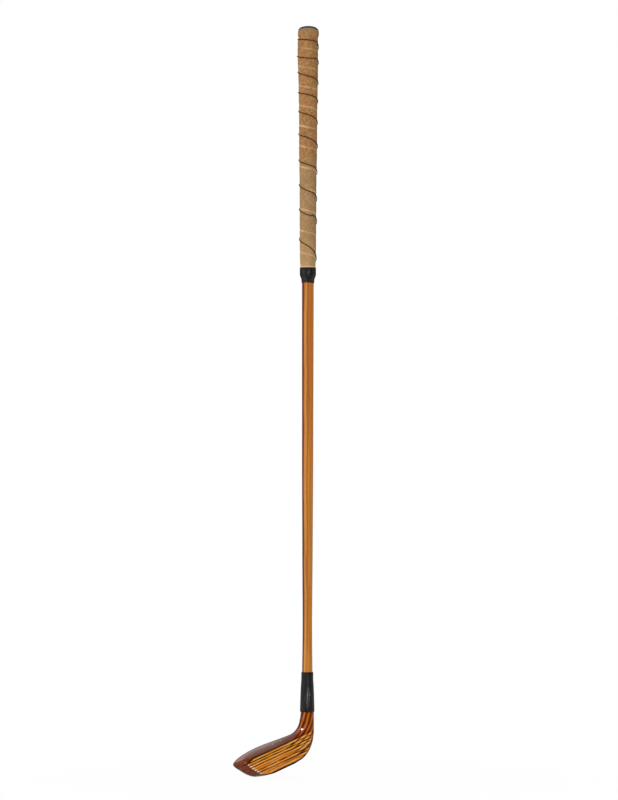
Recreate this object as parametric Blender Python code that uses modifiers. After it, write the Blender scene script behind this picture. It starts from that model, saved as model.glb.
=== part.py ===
"""Golf putter: a carved wooden head with a scored face, a tapered wood shaft and a wound leather grip.

Lengths are metres. The shaft's axis is the Z axis, the toe points along -X and the face along -Y.
Heights are measured up the axis from the heel point, where the axis meets the plane of the sole.
Depths are measured down the axis from the top of the butt. The origin is the middle of the hold.
The head has its own frame at the heel point, with X along the sole toward the heel and Z square to it.
"""

from math import cos, pi, radians, sin, tan

import bmesh
import bpy
from mathutils import Matrix, Vector

# Whole club
CLUB_LENGTH = 0.864
HOLD_DEPTH = 0.140
GAP = 0.0003
LIE_TILT = radians(25.0)

# Shaft
SHAFT_BUTT_DIAMETER = 0.0146
SHAFT_GRIP_DIAMETER = 0.0138
SHAFT_NECK_DIAMETER = 0.0122
SHAFT_BUTT_EDGE = 0.001
SHOULDER_RISE = 0.0018
TIP_TOP_DIAMETER = 0.0098
TIP_END_DIAMETER = 0.0078
TIP_END_HEIGHT = 0.024
SHAFT_STEPS = 32

# Head outline, seen from the face
HEAD_REACH = 0.0832
HEAD_HEIGHT = 0.0355
TOE_TIP_HEIGHT = 0.0285
SADDLE_HEIGHT = 0.0329
SOLE_CUT = 0.0006
HEEL_START = 0.010
BEND_HEIGHT = 0.0444
HEEL_EASE = 0.88
TOE_START_SHARE = 0.03

# Head depth, measured from the shaft's axis
HEAD_BACK = 0.041
HEEL_BACK = 0.0155
TOE_TIP_BACK = 0.003
RIDGE_BACK = 0.008
RIDGE_BACK_SHARE = 0.6
HEEL_RIDGE_BACK = 0.0064

# Face and its lines
FACE_OFFSET = 0.0092
FACE_LOFT = radians(3.0)
FACE_TOP = 0.0267
FACE_CORNER_SHARE = 0.475
FACE_RUN_RADIUS = 0.050
FACE_RUN_ANGLE = radians(35.0)
GROOVE_COUNT = 7
GROOVE_PITCH = 0.00296
GROOVE_FIRST = 0.0053
GROOVE_WIDTH = 0.0009
GROOVE_DEPTH = 0.0005
GROOVE_OVERRUN = 0.001

# Neck and its sleeve
NECK_DIAMETER = 0.0156
NECK_SADDLE_SWELL = 0.0012
NECK_REBATE = 0.0003
NECK_SHOULDER_DIAMETER = 0.0132
NECK_RIM_DIAMETER = 0.0121
NECK_RIM_HEIGHT = 0.092
NECK_RIM_BEVEL = 0.0065
SLEEVE_BOTTOM_HEIGHT = 0.0550
SLEEVE_TOP_HEIGHT = 0.1011
SLEEVE_WALL = 0.0006
SLEEVE_BOTTOM_SWELL = 0.0001
SLEEVE_EDGE = 0.0005

# Slip in the sole, its pegs, and the weight in the back
SLIP_TOE_END = 0.0546
SLIP_HEEL_END = 0.0007
SLIP_THICKNESS = 0.0014
SLIP_DEPTH = 0.012
PEG_DIAMETER = 0.0032
PEG_LENGTH = 0.011
PEG_SPACING = 0.010
PEG_FIRST = 0.018
PEG_SETBACK = 0.0062
WEIGHT_LENGTH = 0.036
WEIGHT_WIDTH = 0.012
WEIGHT_DEPTH = 0.022
WEIGHT_REACH = 0.049
WEIGHT_HEIGHT = 0.0150

# Grip
CAP_LENGTH = 0.0138
CAP_WALL = 0.0015
LEATHER_END_DEPTH = 0.2957
LEATHER_THICKNESS = 0.0012
UNDERLISTING_END_DEPTH = 0.255
SEAM_GAP = 0.0005
SEAM_FIRST_DEPTH = 0.0500
SEAM_PITCH = 0.0228
SEAM_GROWTH = 0.00018
SEAM_SWING = 0.50
SEAM_SAG = 0.18
STRIP_TIP = 0.0015
THREAD_DIAMETER = 0.0010
THREAD_SEAT = 0.0002
BAND_LAP = 0.0104
BAND_TAIL = 0.0078
BAND_FALL = 0.0018
BAND_DRAW = 0.0037
BAND_THICKNESS = 0.0006
TURN_POINTS = 24
DISC_DIAMETER = 0.0198
DISC_HEIGHT = 0.0022
TACK_HEAD_DIAMETER = 0.0044
TACK_HEAD_HEIGHT = 0.0008
TACK_SHANK_DIAMETER = 0.0014
TACK_LENGTH = 0.0145

# Way of the thread as the hand laid it: turns, whole ones at the front, and depth
THREAD_WAY = (
    (-0.40, 0.0157),
    (-0.25, 0.0161),
    (0.0, 0.0174),
    (0.25, 0.0254),
    (0.75, 0.0359),
    (1.0, 0.0389),
    (1.25, 0.0436),
    (1.75, 0.0547),
    (2.0, 0.0599),
    (2.25, 0.0677),
    (2.75, 0.0788),
    (3.0, 0.0819),
    (3.25, 0.0894),
    (3.75, 0.1011),
    (4.0, 0.1054),
    (4.25, 0.1144),
    (4.75, 0.1278),
    (5.0, 0.1326),
    (5.25, 0.1422),
    (5.75, 0.1587),
    (6.0, 0.1642),
    (6.25, 0.1728),
    (6.75, 0.1880),
    (7.0, 0.1950),
    (7.25, 0.2047),
    (7.75, 0.2168),
    (8.0, 0.2234),
    (8.25, 0.2309),
    (8.75, 0.2518),
    (9.0, 0.2600),
    (9.25, 0.2746),
    (9.75, 0.2900),
)

# Height and diameter of the bare shaft
SHAFT_PROFILE = (
    (SLEEVE_TOP_HEIGHT, SHAFT_NECK_DIAMETER),
    (0.115, 0.0119),
    (0.129, 0.0115),
    (0.146, 0.0113),
    (0.158, 0.0112),
    (0.172, 0.0113),
    (0.200, 0.0117),
    (0.229, 0.0121),
    (0.271, 0.0125),
    (0.300, 0.0128),
    (0.328, 0.0131),
    (0.399, 0.0133),
    (0.470, 0.0136),
    (CLUB_LENGTH - LEATHER_END_DEPTH, SHAFT_GRIP_DIAMETER),
)

# Depth and diameter of the leather
GRIP_PROFILE = (
    (CAP_LENGTH, 0.0229),
    (0.054, 0.0230),
    (0.068, 0.0224),
    (0.083, 0.0219),
    (0.097, 0.0213),
    (0.111, 0.0210),
    (0.139, 0.0210),
    (0.153, 0.0207),
    (0.168, 0.0201),
    (0.182, 0.0196),
    (0.210, 0.0193),
    (0.253, 0.0189),
    (0.275, 0.0184),
    (0.2855, 0.0174),
    (LEATHER_END_DEPTH, 0.0168),
)

# Depth and diameter of the leather cap
CAP_PROFILE = (
    (0.0026, 0.0198),
    (0.0035, 0.0223),
    (0.0047, 0.0234),
    (0.0065, 0.0243),
    (0.0105, 0.0246),
    (0.0130, 0.0237),
    (CAP_LENGTH, 0.0233),
)

# Outlines of the head's body: place along it, 0 at the toe tip and 1 at the heel, then a level.
# Level 0 is the toe tip's and 1 the crown's, the back's or the face plane's own, except that the
# sole counts down from 1 at the tip to 0 at the flat.
SOLE_SHAPE = (
    (0.0, 1.0),
    (0.231, 0.700),
    (0.353, 0.430),
    (0.456, 0.230),
    (0.569, 0.113),
    (0.673, 0.048),
    (0.768, 0.0),
    (0.940, 0.0),
)
CROWN_SHAPE = ((0.0, 0.0), (0.196, 0.40), (0.401, 0.786), (0.667, 1.0))
FRONT_SHAPE = (
    (0.0, 0.0),
    (0.165, 0.28),
    (0.234, 0.43),
    (0.331, 0.65),
    (0.405, 0.83),
    (FACE_CORNER_SHARE, 1.0),
    (0.523, 1.14),
    (0.573, 1.28),
    (0.626, 1.39),
    (0.720, 1.5),
    (1.0, 1.5),
)
BACK_SHAPE = (
    (0.0, 0.0),
    (0.20, 0.30),
    (0.36, 0.56),
    (0.50, 0.80),
    (0.60, 0.945),
    (0.69, 1.0),
    (0.78, 0.92),
    (0.89, 0.61),
)
FRONT_POWER = ((0.0, 2.0), (0.52, 2.0), (0.63, 3.0), (0.75, 3.5))
BACK_POWER = 2.4
BACK_BELLY_SHARE = 0.40
TOE_BELLY_SHARE = 0.60
ROUND_BELLY_SHARE = 0.50
ROUND_POWER = 2.0

RING_QUARTER = 11
TOE_STATIONS = 24
BEND_STATIONS = 14
REACH_OF_CUTS = 0.12
ROD_SIDES = 16
CREASE_ANGLE = radians(35.0)

NECK_RADIUS = NECK_DIAMETER / 2
BODY_LENGTH = HEAD_REACH - HEEL_START
BEND_ARM = (BEND_HEIGHT * sin(LIE_TILT) + HEEL_START) / cos(LIE_TILT)
BEND_CENTRE_Z = BEND_HEIGHT * cos(LIE_TILT) + BEND_ARM * sin(LIE_TILT)
BEND_ANGLE = pi / 2 - LIE_TILT
BEND_RUN = BEND_ANGLE * BEND_ARM
BEND_END = (1 + BEND_RUN / BODY_LENGTH) ** 0.5
SHAFT_TOP = CLUB_LENGTH - CAP_PROFILE[0][0] - CAP_WALL - GAP
BAND_TOP_DEPTH = LEATHER_END_DEPTH - BAND_LAP
BAND_BOTTOM_DEPTH = LEATHER_END_DEPTH + BAND_TAIL


def through(points, x):
    """Value at x of a smooth line through the points, level beyond its ends."""
    if x <= points[0][0]:
        return points[0][1]
    if x >= points[-1][0]:
        return points[-1][1]
    slopes = [(b[1] - a[1]) / (b[0] - a[0]) for a, b in zip(points, points[1:])]
    bends = [slopes[0]]
    bends += [(a + b) / 2 if a * b > 0 else 0.0 for a, b in zip(slopes, slopes[1:])]
    bends.append(slopes[-1])
    k = max(i for i in range(len(points) - 1) if points[i][0] <= x)
    span = points[k + 1][0] - points[k][0]
    t = (x - points[k][0]) / span
    start = points[k][1] * (1 + 2 * t) * (1 - t) ** 2 + bends[k] * span * t * (1 - t) ** 2
    end = points[k + 1][1] * (3 - 2 * t) * t**2 + bends[k + 1] * span * (t - 1) * t**2
    return start + end


def mix(a, b, share):
    """Value that lies the given share of the way from a to b."""
    return a + (b - a) * share


def ease(share):
    """Share of a change that starts and ends gently."""
    return share * share * (3 - 2 * share)


def clear_scene():
    """Remove every object of the open file."""
    for item in list(bpy.data.objects):
        bpy.data.objects.remove(item, do_unlink=True)


def make_material(name, colour, roughness, metallic=0.0):
    """Plain surface with one colour."""
    material = bpy.data.materials.new(name)
    material.use_nodes = True
    shader = material.node_tree.nodes["Principled BSDF"]
    shader.inputs["Base Color"].default_value = (*colour, 1.0)
    shader.inputs["Roughness"].default_value = roughness
    shader.inputs["Metallic"].default_value = metallic
    return material


def place(item, collection, parent):
    """Put an object in its collection and under its parent."""
    collection.objects.link(item)
    item.parent = parent
    return item


def hide_cutter(item):
    """Show a cutter as wires only."""
    item.hide_render = True
    item.display_type = "WIRE"


def cut(target, cutter, operation="DIFFERENCE"):
    """Add a Boolean step to the target."""
    step = target.modifiers.new(cutter.name, "BOOLEAN")
    step.operation = operation
    step.solver = "EXACT"
    step.object = cutter


def shade_round(mesh):
    """Shade smoothly, with creases where faces meet at a steep angle."""
    mesh.shade_smooth()
    mesh.set_sharp_from_angle(angle=CREASE_ANGLE)


def turned(name, collection, parent, outer, inner=()):
    """Body of revolution: outer runs down the outside and inner up the inside, as radius and height."""
    mesh = bpy.data.meshes.new(name)
    shape = bmesh.new()
    corners = [shape.verts.new((radius, 0.0, height)) for radius, height in (*outer, *inner)]
    for first, second in zip(corners, corners[1:]):
        shape.edges.new((first, second))
    if inner:
        shape.edges.new((corners[-1], corners[0]))
    shape.to_mesh(mesh)
    shape.free()
    item = place(bpy.data.objects.new(name, mesh), collection, parent)
    spin = item.modifiers.new("turn", "SCREW")
    spin.axis = "Z"
    spin.steps = SHAFT_STEPS
    spin.render_steps = SHAFT_STEPS
    spin.use_merge_vertices = True
    spin.merge_threshold = 0.00001
    return item


def rod(name, collection, parent, places, radius, low, high):
    """Group of upright round bars, one at each place, between two heights."""
    mesh = bpy.data.meshes.new(name)
    shape = bmesh.new()
    for x, y in places:
        bar = bmesh.ops.create_cone(
            shape, cap_ends=True, segments=ROD_SIDES, radius1=radius, radius2=radius, depth=high - low
        )
        bmesh.ops.translate(shape, vec=(x, y, (low + high) / 2), verts=bar["verts"])
    shape.to_mesh(mesh)
    shape.free()
    shade_round(mesh)
    return place(bpy.data.objects.new(name, mesh), collection, parent)


def block(name, collection, parent, low, high):
    """Box between two opposite corners."""
    mesh = bpy.data.meshes.new(name)
    shape = bmesh.new()
    bmesh.ops.create_cube(shape, size=1.0)
    size = Vector(high) - Vector(low)
    bmesh.ops.scale(shape, vec=size, verts=shape.verts)
    bmesh.ops.translate(shape, vec=(Vector(low) + Vector(high)) / 2, verts=shape.verts)
    shape.to_mesh(mesh)
    shape.free()
    return place(bpy.data.objects.new(name, mesh), collection, parent)


def plate(name, collection, parent, outline, low, high, along="Y"):
    """Flat outline given thickness between two places on an axis, then made a mesh.

    The outline is drawn in X and Z where the axis is Y, and in Y and Z where it is X.
    """
    curve = bpy.data.curves.new(name, "CURVE")
    curve.dimensions = "2D"
    curve.fill_mode = "BOTH"
    curve.extrude = (high - low) / 2
    line = curve.splines.new("POLY")
    line.points.add(len(outline) - 1)
    for point, (x, y) in zip(line.points, outline):
        point.co = (x, y, 0.0, 1.0)
    line.use_cyclic_u = True
    drawn = place(bpy.data.objects.new(name, curve), collection, parent)
    if along == "Y":
        drawn.rotation_euler = (pi / 2, 0.0, 0.0)
        drawn.location = (0.0, (low + high) / 2, 0.0)
    else:
        drawn.rotation_euler = (pi / 2, 0.0, pi / 2)
        drawn.location = ((low + high) / 2, 0.0, 0.0)
    bpy.context.view_layer.update()
    mesh = bpy.data.meshes.new_from_object(drawn.evaluated_get(bpy.context.evaluated_depsgraph_get()))
    shape = bmesh.new()
    shape.from_mesh(mesh)
    bmesh.ops.remove_doubles(shape, verts=shape.verts, dist=0.000001)
    shape.to_mesh(mesh)
    shape.free()
    item = place(bpy.data.objects.new(name, mesh), collection, parent)
    item.matrix_world = drawn.matrix_world
    bpy.data.objects.remove(drawn)
    item.name = name
    return item


def shaft_radius(height):
    """Radius of the bare shaft: tapers from the butt to a waist, then swells toward the neck."""
    grip_end = CLUB_LENGTH - LEATHER_END_DEPTH
    if height >= grip_end:
        share = min(1.0, (height - grip_end) / (SHAFT_TOP - grip_end))
        return mix(SHAFT_GRIP_DIAMETER, SHAFT_BUTT_DIAMETER, share) / 2
    return through(SHAFT_PROFILE, height) / 2


def tip_profile(clearance):
    """Shaft tip below its shoulder, from the neck's rim down, grown by a clearance."""
    rim = NECK_RIM_HEIGHT + 2 * GAP
    return [
        (TIP_TOP_DIAMETER / 2 + clearance, rim),
        (TIP_END_DIAMETER / 2 + clearance, TIP_END_HEIGHT - clearance),
        (0.0, TIP_END_HEIGHT - clearance),
    ]


def make_shaft(collection, parent, cutters):
    """Shaft from the butt to the end of its tip, with a hole for the tack."""
    outer = [(0.0, SHAFT_TOP)]
    outer.append((SHAFT_BUTT_DIAMETER / 2 - SHAFT_BUTT_EDGE, SHAFT_TOP))
    outer.append((SHAFT_BUTT_DIAMETER / 2, SHAFT_TOP - SHAFT_BUTT_EDGE))
    grip_end = CLUB_LENGTH - LEATHER_END_DEPTH
    steps = 24
    for step in range(steps + 1):
        height = mix(grip_end, SLEEVE_TOP_HEIGHT, step / steps)
        outer.append((shaft_radius(height), height))
    outer.append((SHAFT_NECK_DIAMETER / 2, NECK_RIM_HEIGHT + SHOULDER_RISE))
    outer += tip_profile(0.0)
    shaft = turned("shaft", collection, parent, outer)
    hole = rod(
        "shaft_tack_hole",
        cutters,
        parent,
        [(0.0, 0.0)],
        TACK_SHANK_DIAMETER / 2 + GAP,
        CLUB_LENGTH - TACK_LENGTH - GAP,
        CLUB_LENGTH,
    )
    hide_cutter(hole)
    cut(shaft, hole)
    shaft.data.materials.append(make_material("shaft_wood", (0.50, 0.22, 0.06), 0.3))


def path_share(distance):
    """Place along the head, from 0 at the toe tip through 1 at the heel.

    It grows with the square root of the distance, so that stations crowd where the toe is round.
    """
    return (distance / BODY_LENGTH) ** 0.5


def sole_level(share):
    """Height of the lower outline of the body, a little below the sole's plane where the sole is flat."""
    line = [(place, level * (TOE_TIP_HEIGHT + SOLE_CUT) - SOLE_CUT) for place, level in SOLE_SHAPE]
    return through([*line, (1.0, SOLE_CUT)], share)


def crown_level(share):
    """Height of the upper outline of the body."""
    line = [(place, mix(TOE_TIP_HEIGHT, HEAD_HEIGHT, level)) for place, level in CROWN_SHAPE]
    return through([*line, (1.0, SADDLE_HEIGHT)], share)


def front_reach(share):
    """Y of the front before the face is cut, past the face's plane wherever the face is flat."""
    line = [(place, mix(TOE_TIP_BACK, face_depth(FACE_TOP), level)) for place, level in FRONT_SHAPE]
    return through([*line, (BEND_END, -NECK_RADIUS)], share)


def back_reach(share):
    """Y of the back."""
    line = [(place, mix(TOE_TIP_BACK, HEAD_BACK, level)) for place, level in BACK_SHAPE]
    return through([*line, (1.0, HEEL_BACK), (BEND_END, NECK_RADIUS)], share)


def ridge_place(share):
    """Y of the highest line of the crown."""
    line = [(0.0, TOE_TIP_BACK), (RIDGE_BACK_SHARE, RIDGE_BACK), (1.0, HEEL_RIDGE_BACK)]
    return through([*line, (BEND_END, 0.0)], share)


def belly_share(share, ridge, front, crown, sole):
    """Height of the frontmost line, as a share of the section's height.

    From the face's toe corner on, the crown comes down to the face's plane at the face's top.
    """
    if share < FACE_CORNER_SHARE:
        corner = belly_share(
            FACE_CORNER_SHARE,
            ridge_place(FACE_CORNER_SHARE),
            front_reach(FACE_CORNER_SHARE),
            crown_level(FACE_CORNER_SHARE),
            sole_level(FACE_CORNER_SHARE),
        )
        return mix(TOE_BELLY_SHARE, corner, share / FACE_CORNER_SHARE)
    across = min(1.0, (ridge - face_depth(FACE_TOP)) / (ridge - front))
    rise = (1 - across * across) ** 0.5
    level = (FACE_TOP - rise * crown) / (1 - rise)
    return (level - sole) / (crown - sole)


def body_station(share):
    """Section of the head's body, upright on the sole."""
    sole, crown = sole_level(share), crown_level(share)
    ridge, front = ridge_place(share), front_reach(share)
    return {
        "foot": (-HEAD_REACH + BODY_LENGTH * share * share, BEND_CENTRE_Z),
        "turn": 0.0,
        "near": BEND_CENTRE_Z - crown,
        "far": BEND_CENTRE_Z - sole,
        "front": front,
        "back": back_reach(share),
        "ridge": ridge,
        "front_belly": belly_share(share, ridge, front, crown, sole),
        "back_belly": BACK_BELLY_SHARE,
        "front_power": through(FRONT_POWER, share),
        "back_power": BACK_POWER,
    }


def bend_station(turned_share):
    """Section in the bend from body to neck, on a plane that turns about the bend's centre."""
    heel = body_station(1.0)
    share = path_share(BODY_LENGTH + BEND_RUN * turned_share)
    outward = ease(turned_share**HEEL_EASE)
    rounding = ease(turned_share)
    return {
        "foot": (-HEEL_START, BEND_CENTRE_Z),
        "turn": BEND_ANGLE * turned_share,
        "near": mix(heel["near"], BEND_ARM - NECK_RADIUS - NECK_SADDLE_SWELL, turned_share),
        "far": mix(heel["far"], BEND_ARM + NECK_RADIUS, outward),
        "front": front_reach(share),
        "back": back_reach(share),
        "ridge": ridge_place(share),
        "front_belly": mix(heel["front_belly"], ROUND_BELLY_SHARE, rounding),
        "back_belly": mix(heel["back_belly"], ROUND_BELLY_SHARE, rounding),
        "front_power": mix(heel["front_power"], ROUND_POWER, rounding),
        "back_power": mix(heel["back_power"], ROUND_POWER, rounding),
    }


def neck_station(height, radius, swell):
    """Round section of the neck at a height up the shaft's axis."""
    rise = height - BEND_HEIGHT
    section = bend_station(1.0)
    section["foot"] = (-HEEL_START + rise * sin(LIE_TILT), BEND_CENTRE_Z + rise * cos(LIE_TILT))
    section["near"] = BEND_ARM - radius - swell
    section["far"] = BEND_ARM + radius
    section["front"] = -radius
    section["back"] = radius
    return section


def quarter(reach, rise, power, share):
    """Point of a quarter of a rounded section: reach and rise are its half width and half height."""
    angle = share * pi / 2
    return reach * cos(angle) ** (2 / power), rise * sin(angle) ** (2 / power)


def section_points(section):
    """Ring of points of one section, from the ridge forward, under the sole and up the back."""
    near, far = section["near"], section["far"]
    height = far - near
    ridge = section["ridge"]
    front_level = far - height * section["front_belly"]
    back_level = far - height * section["back_belly"]
    front_half = ridge - section["front"]
    back_half = section["back"] - ridge
    ring = []
    for step in range(RING_QUARTER):
        share = 1 - step / RING_QUARTER
        across, up = quarter(front_half, front_level - near, ROUND_POWER, share)
        ring.append((ridge - across, front_level - up))
    for step in range(RING_QUARTER):
        share = step / RING_QUARTER
        across, down = quarter(front_half, far - front_level, section["front_power"], share)
        ring.append((ridge - across, front_level + down))
    for step in range(RING_QUARTER):
        share = 1 - step / RING_QUARTER
        across, down = quarter(back_half, far - back_level, section["back_power"], share)
        ring.append((ridge + across, back_level + down))
    for step in range(RING_QUARTER):
        share = step / RING_QUARTER
        across, up = quarter(back_half, back_level - near, ROUND_POWER, share)
        ring.append((ridge + across, back_level - up))
    foot_x, foot_z = section["foot"]
    along_x, along_z = sin(section["turn"]), -cos(section["turn"])
    return [(foot_x + along_x * away, depth, foot_z + along_z * away) for depth, away in ring]


def head_stations():
    """Sections of the head and neck, from the toe tip to the neck's rim."""
    stations = []
    for step in range(TOE_STATIONS):
        stations.append(body_station(mix(TOE_START_SHARE, 1.0, step / TOE_STATIONS)))
    for step in range(BEND_STATIONS):
        stations.append(bend_station(step / BEND_STATIONS))
    neck_top = SLEEVE_BOTTOM_HEIGHT - GAP
    for share in (0.0, 0.5, 1.0):
        swell = NECK_SADDLE_SWELL * (1 - share) ** 2
        stations.append(neck_station(mix(BEND_HEIGHT, neck_top, share), NECK_RADIUS, swell))
    for radius, height in neck_under_sleeve():
        stations.append(neck_station(height, radius, 0.0))
    return stations


def neck_under_sleeve():
    """Radius and height of the neck inside the sleeve, from the bottom up."""
    return [
        (NECK_RADIUS - NECK_REBATE, SLEEVE_BOTTOM_HEIGHT),
        (NECK_SHOULDER_DIAMETER / 2, NECK_RIM_HEIGHT - NECK_RIM_BEVEL),
        (NECK_RIM_DIAMETER / 2, NECK_RIM_HEIGHT),
    ]


def head_solid(name, collection, parent):
    """Loft through the sections of head and neck, before anything is cut."""
    mesh = bpy.data.meshes.new(name)
    shape = bmesh.new()
    rings = [[shape.verts.new(point) for point in section_points(section)] for section in head_stations()]
    count = 4 * RING_QUARTER
    for low, high in zip(rings, rings[1:]):
        for k in range(count):
            shape.faces.new((low[k], low[(k + 1) % count], high[(k + 1) % count], high[k]))
    shape.faces.new(reversed(rings[0]))
    shape.faces.new(rings[-1])
    bmesh.ops.recalc_face_normals(shape, faces=shape.faces)
    shape.to_mesh(mesh)
    shape.free()
    shade_round(mesh)
    return place(bpy.data.objects.new(name, mesh), collection, parent)


def face_depth(height):
    """Y of the face's plane at a height above the sole."""
    return -FACE_OFFSET + height * tan(FACE_LOFT)


def face_cutter(cutters, head):
    """Everything in front of the face's plane, which curves out forward above the face."""
    outline = [(face_depth(-REACH_OF_CUTS), -REACH_OF_CUTS)]
    steps = 10
    for step in range(steps + 1):
        angle = FACE_RUN_ANGLE * step / steps
        forward = FACE_RUN_RADIUS * (cos(FACE_LOFT) - cos(angle - FACE_LOFT))
        up = FACE_RUN_RADIUS * (sin(angle - FACE_LOFT) + sin(FACE_LOFT))
        outline.append((face_depth(FACE_TOP) - forward, FACE_TOP + up))
    outline.append((-REACH_OF_CUTS, outline[-1][1]))
    outline.append((-REACH_OF_CUTS, -REACH_OF_CUTS))
    cutter = plate("face_cut", cutters, head, outline, -REACH_OF_CUTS, REACH_OF_CUTS, along="X")
    hide_cutter(cutter)
    return cutter


def groove_cutter(cutters, head):
    """Three-sided bars along the face, one for each scoring line."""
    mesh = bpy.data.meshes.new("groove_cut")
    shape = bmesh.new()
    deep = GROOVE_DEPTH + GROOVE_OVERRUN
    wide = GROOVE_WIDTH * deep / GROOVE_DEPTH
    left, right = -HEAD_REACH - GROOVE_OVERRUN, 2 * NECK_DIAMETER
    # A three-sided bar of radius 1 is 1.5 deep and as wide as the square root of 3
    size = Matrix.Diagonal((wide / 3**0.5, deep / 1.5, right - left, 1.0))
    for line in range(GROOVE_COUNT):
        height = GROOVE_FIRST + line * GROOVE_PITCH
        middle = face_depth(height) + GROOVE_DEPTH - deep / 1.5
        spot = Matrix.Translation(((left + right) / 2, middle, height))
        bmesh.ops.create_cone(
            shape,
            cap_ends=True,
            segments=3,
            radius1=1.0,
            radius2=1.0,
            depth=1.0,
            matrix=spot @ Matrix.Rotation(pi / 2, 4, "Y") @ size,
        )
    shape.to_mesh(mesh)
    shape.free()
    cutter = place(bpy.data.objects.new("groove_cut", mesh), cutters, head)
    hide_cutter(cutter)
    return cutter


def sole_height(x):
    """Height of the head's lower outline at a place along the sole."""
    share = max(0.0, min(1.0, (x + HEAD_REACH) / BODY_LENGTH)) ** 0.5
    if x <= -HEEL_START:
        return BEND_CENTRE_Z - body_station(share)["far"]
    low, high = 0.0, 1.0
    for _ in range(30):
        turn = (low + high) / 2
        if -HEEL_START + bend_station(turn)["far"] * sin(BEND_ANGLE * turn) < x:
            low = turn
        else:
            high = turn
    return BEND_CENTRE_Z - bend_station(low)["far"] * cos(BEND_ANGLE * low)


def slip_outline(growth):
    """Outline of the slip seen from the face, grown by a clearance."""
    left, right = -SLIP_TOE_END - growth, -SLIP_HEEL_END + growth
    steps = 12
    top = []
    for step in range(steps + 1):
        x = mix(left, right, step / steps)
        top.append((x, max(0.0, sole_height(x)) + SLIP_THICKNESS + growth))
    return [*top, (right, -REACH_OF_CUTS / 4), (left, -REACH_OF_CUTS / 4)]


def weight_outline(growth):
    """Outline of the weight seen from the back: a bar with round ends."""
    radius = WEIGHT_WIDTH / 2 + growth
    half = (WEIGHT_LENGTH - WEIGHT_WIDTH) / 2
    steps = 8
    outline = []
    for side, start in ((1, -pi / 2), (-1, pi / 2)):
        for step in range(steps + 1):
            angle = start + pi * step / steps
            x = side * half - WEIGHT_REACH + radius * cos(angle)
            outline.append((x, WEIGHT_HEIGHT + radius * sin(angle)))
    return outline


def peg_places():
    """Places of the pegs along the sole."""
    return [(-PEG_FIRST - PEG_SPACING * k, -FACE_OFFSET + PEG_SETBACK) for k in range(3)]


def make_head(collection, parent, cutters):
    """Head block with its face, lines, slip, pegs, weight and socket."""
    head = bpy.data.objects.new("head_frame", None)
    place(head, collection, parent)
    head.rotation_euler = (0.0, -LIE_TILT, 0.0)
    bpy.context.view_layer.update()

    face = face_cutter(cutters, head)
    sole = block(
        "sole_cut",
        cutters,
        head,
        (-REACH_OF_CUTS, -REACH_OF_CUTS, -REACH_OF_CUTS / 2),
        (REACH_OF_CUTS, REACH_OF_CUTS, 0.0),
    )
    slip_back = -FACE_OFFSET + SLIP_DEPTH
    weight_front = HEAD_BACK - WEIGHT_DEPTH
    rebate = plate("slip_rebate", cutters, head, slip_outline(GAP), -REACH_OF_CUTS, slip_back + GAP)
    pocket = plate("weight_pocket", cutters, head, weight_outline(GAP), weight_front - GAP, REACH_OF_CUTS)
    slip_shape = plate("slip_shape", cutters, head, slip_outline(0.0), -REACH_OF_CUTS, slip_back)
    weight_shape = plate("weight_shape", cutters, head, weight_outline(0.0), weight_front, REACH_OF_CUTS)
    peg_holes = rod(
        "peg_holes", cutters, head, peg_places(), PEG_DIAMETER / 2 + GAP, -PEG_LENGTH, PEG_LENGTH + GAP
    )
    bore_top = NECK_RIM_HEIGHT + NECK_DIAMETER
    bore = [(0.0, bore_top), (TIP_TOP_DIAMETER / 2 + GAP, bore_top), *tip_profile(GAP)]
    socket = turned("socket_bore", cutters, parent, bore)
    for cutter in (sole, rebate, pocket, slip_shape, weight_shape, peg_holes, socket):
        hide_cutter(cutter)

    head_block = head_solid("head_block", collection, head)
    cut(head_block, face)
    cut(head_block, sole)
    cut(head_block, groove_cutter(cutters, head))
    for cutter in (rebate, pocket, peg_holes, socket):
        cut(head_block, cutter)
    head_block.data.materials.append(make_material("head_wood", (0.30, 0.09, 0.03), 0.25))

    slip = head_solid("sole_slip", collection, head)
    cut(slip, face)
    cut(slip, sole)
    cut(slip, slip_shape, "INTERSECT")
    cut(slip, peg_holes)
    slip.data.materials.append(make_material("slip_horn", (0.02, 0.015, 0.012), 0.35))

    peg_wood = make_material("peg_wood", (0.45, 0.28, 0.12), 0.5)
    for number, spot in enumerate(peg_places(), 1):
        peg = rod(f"slip_peg_{number}", collection, head, [spot], PEG_DIAMETER / 2, 0.0, PEG_LENGTH)
        peg.data.materials.append(peg_wood)

    weight = head_solid("back_weight", collection, head)
    cut(weight, weight_shape, "INTERSECT")
    weight.data.materials.append(make_material("weight_lead", (0.16, 0.16, 0.17), 0.55, 1.0))


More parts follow.
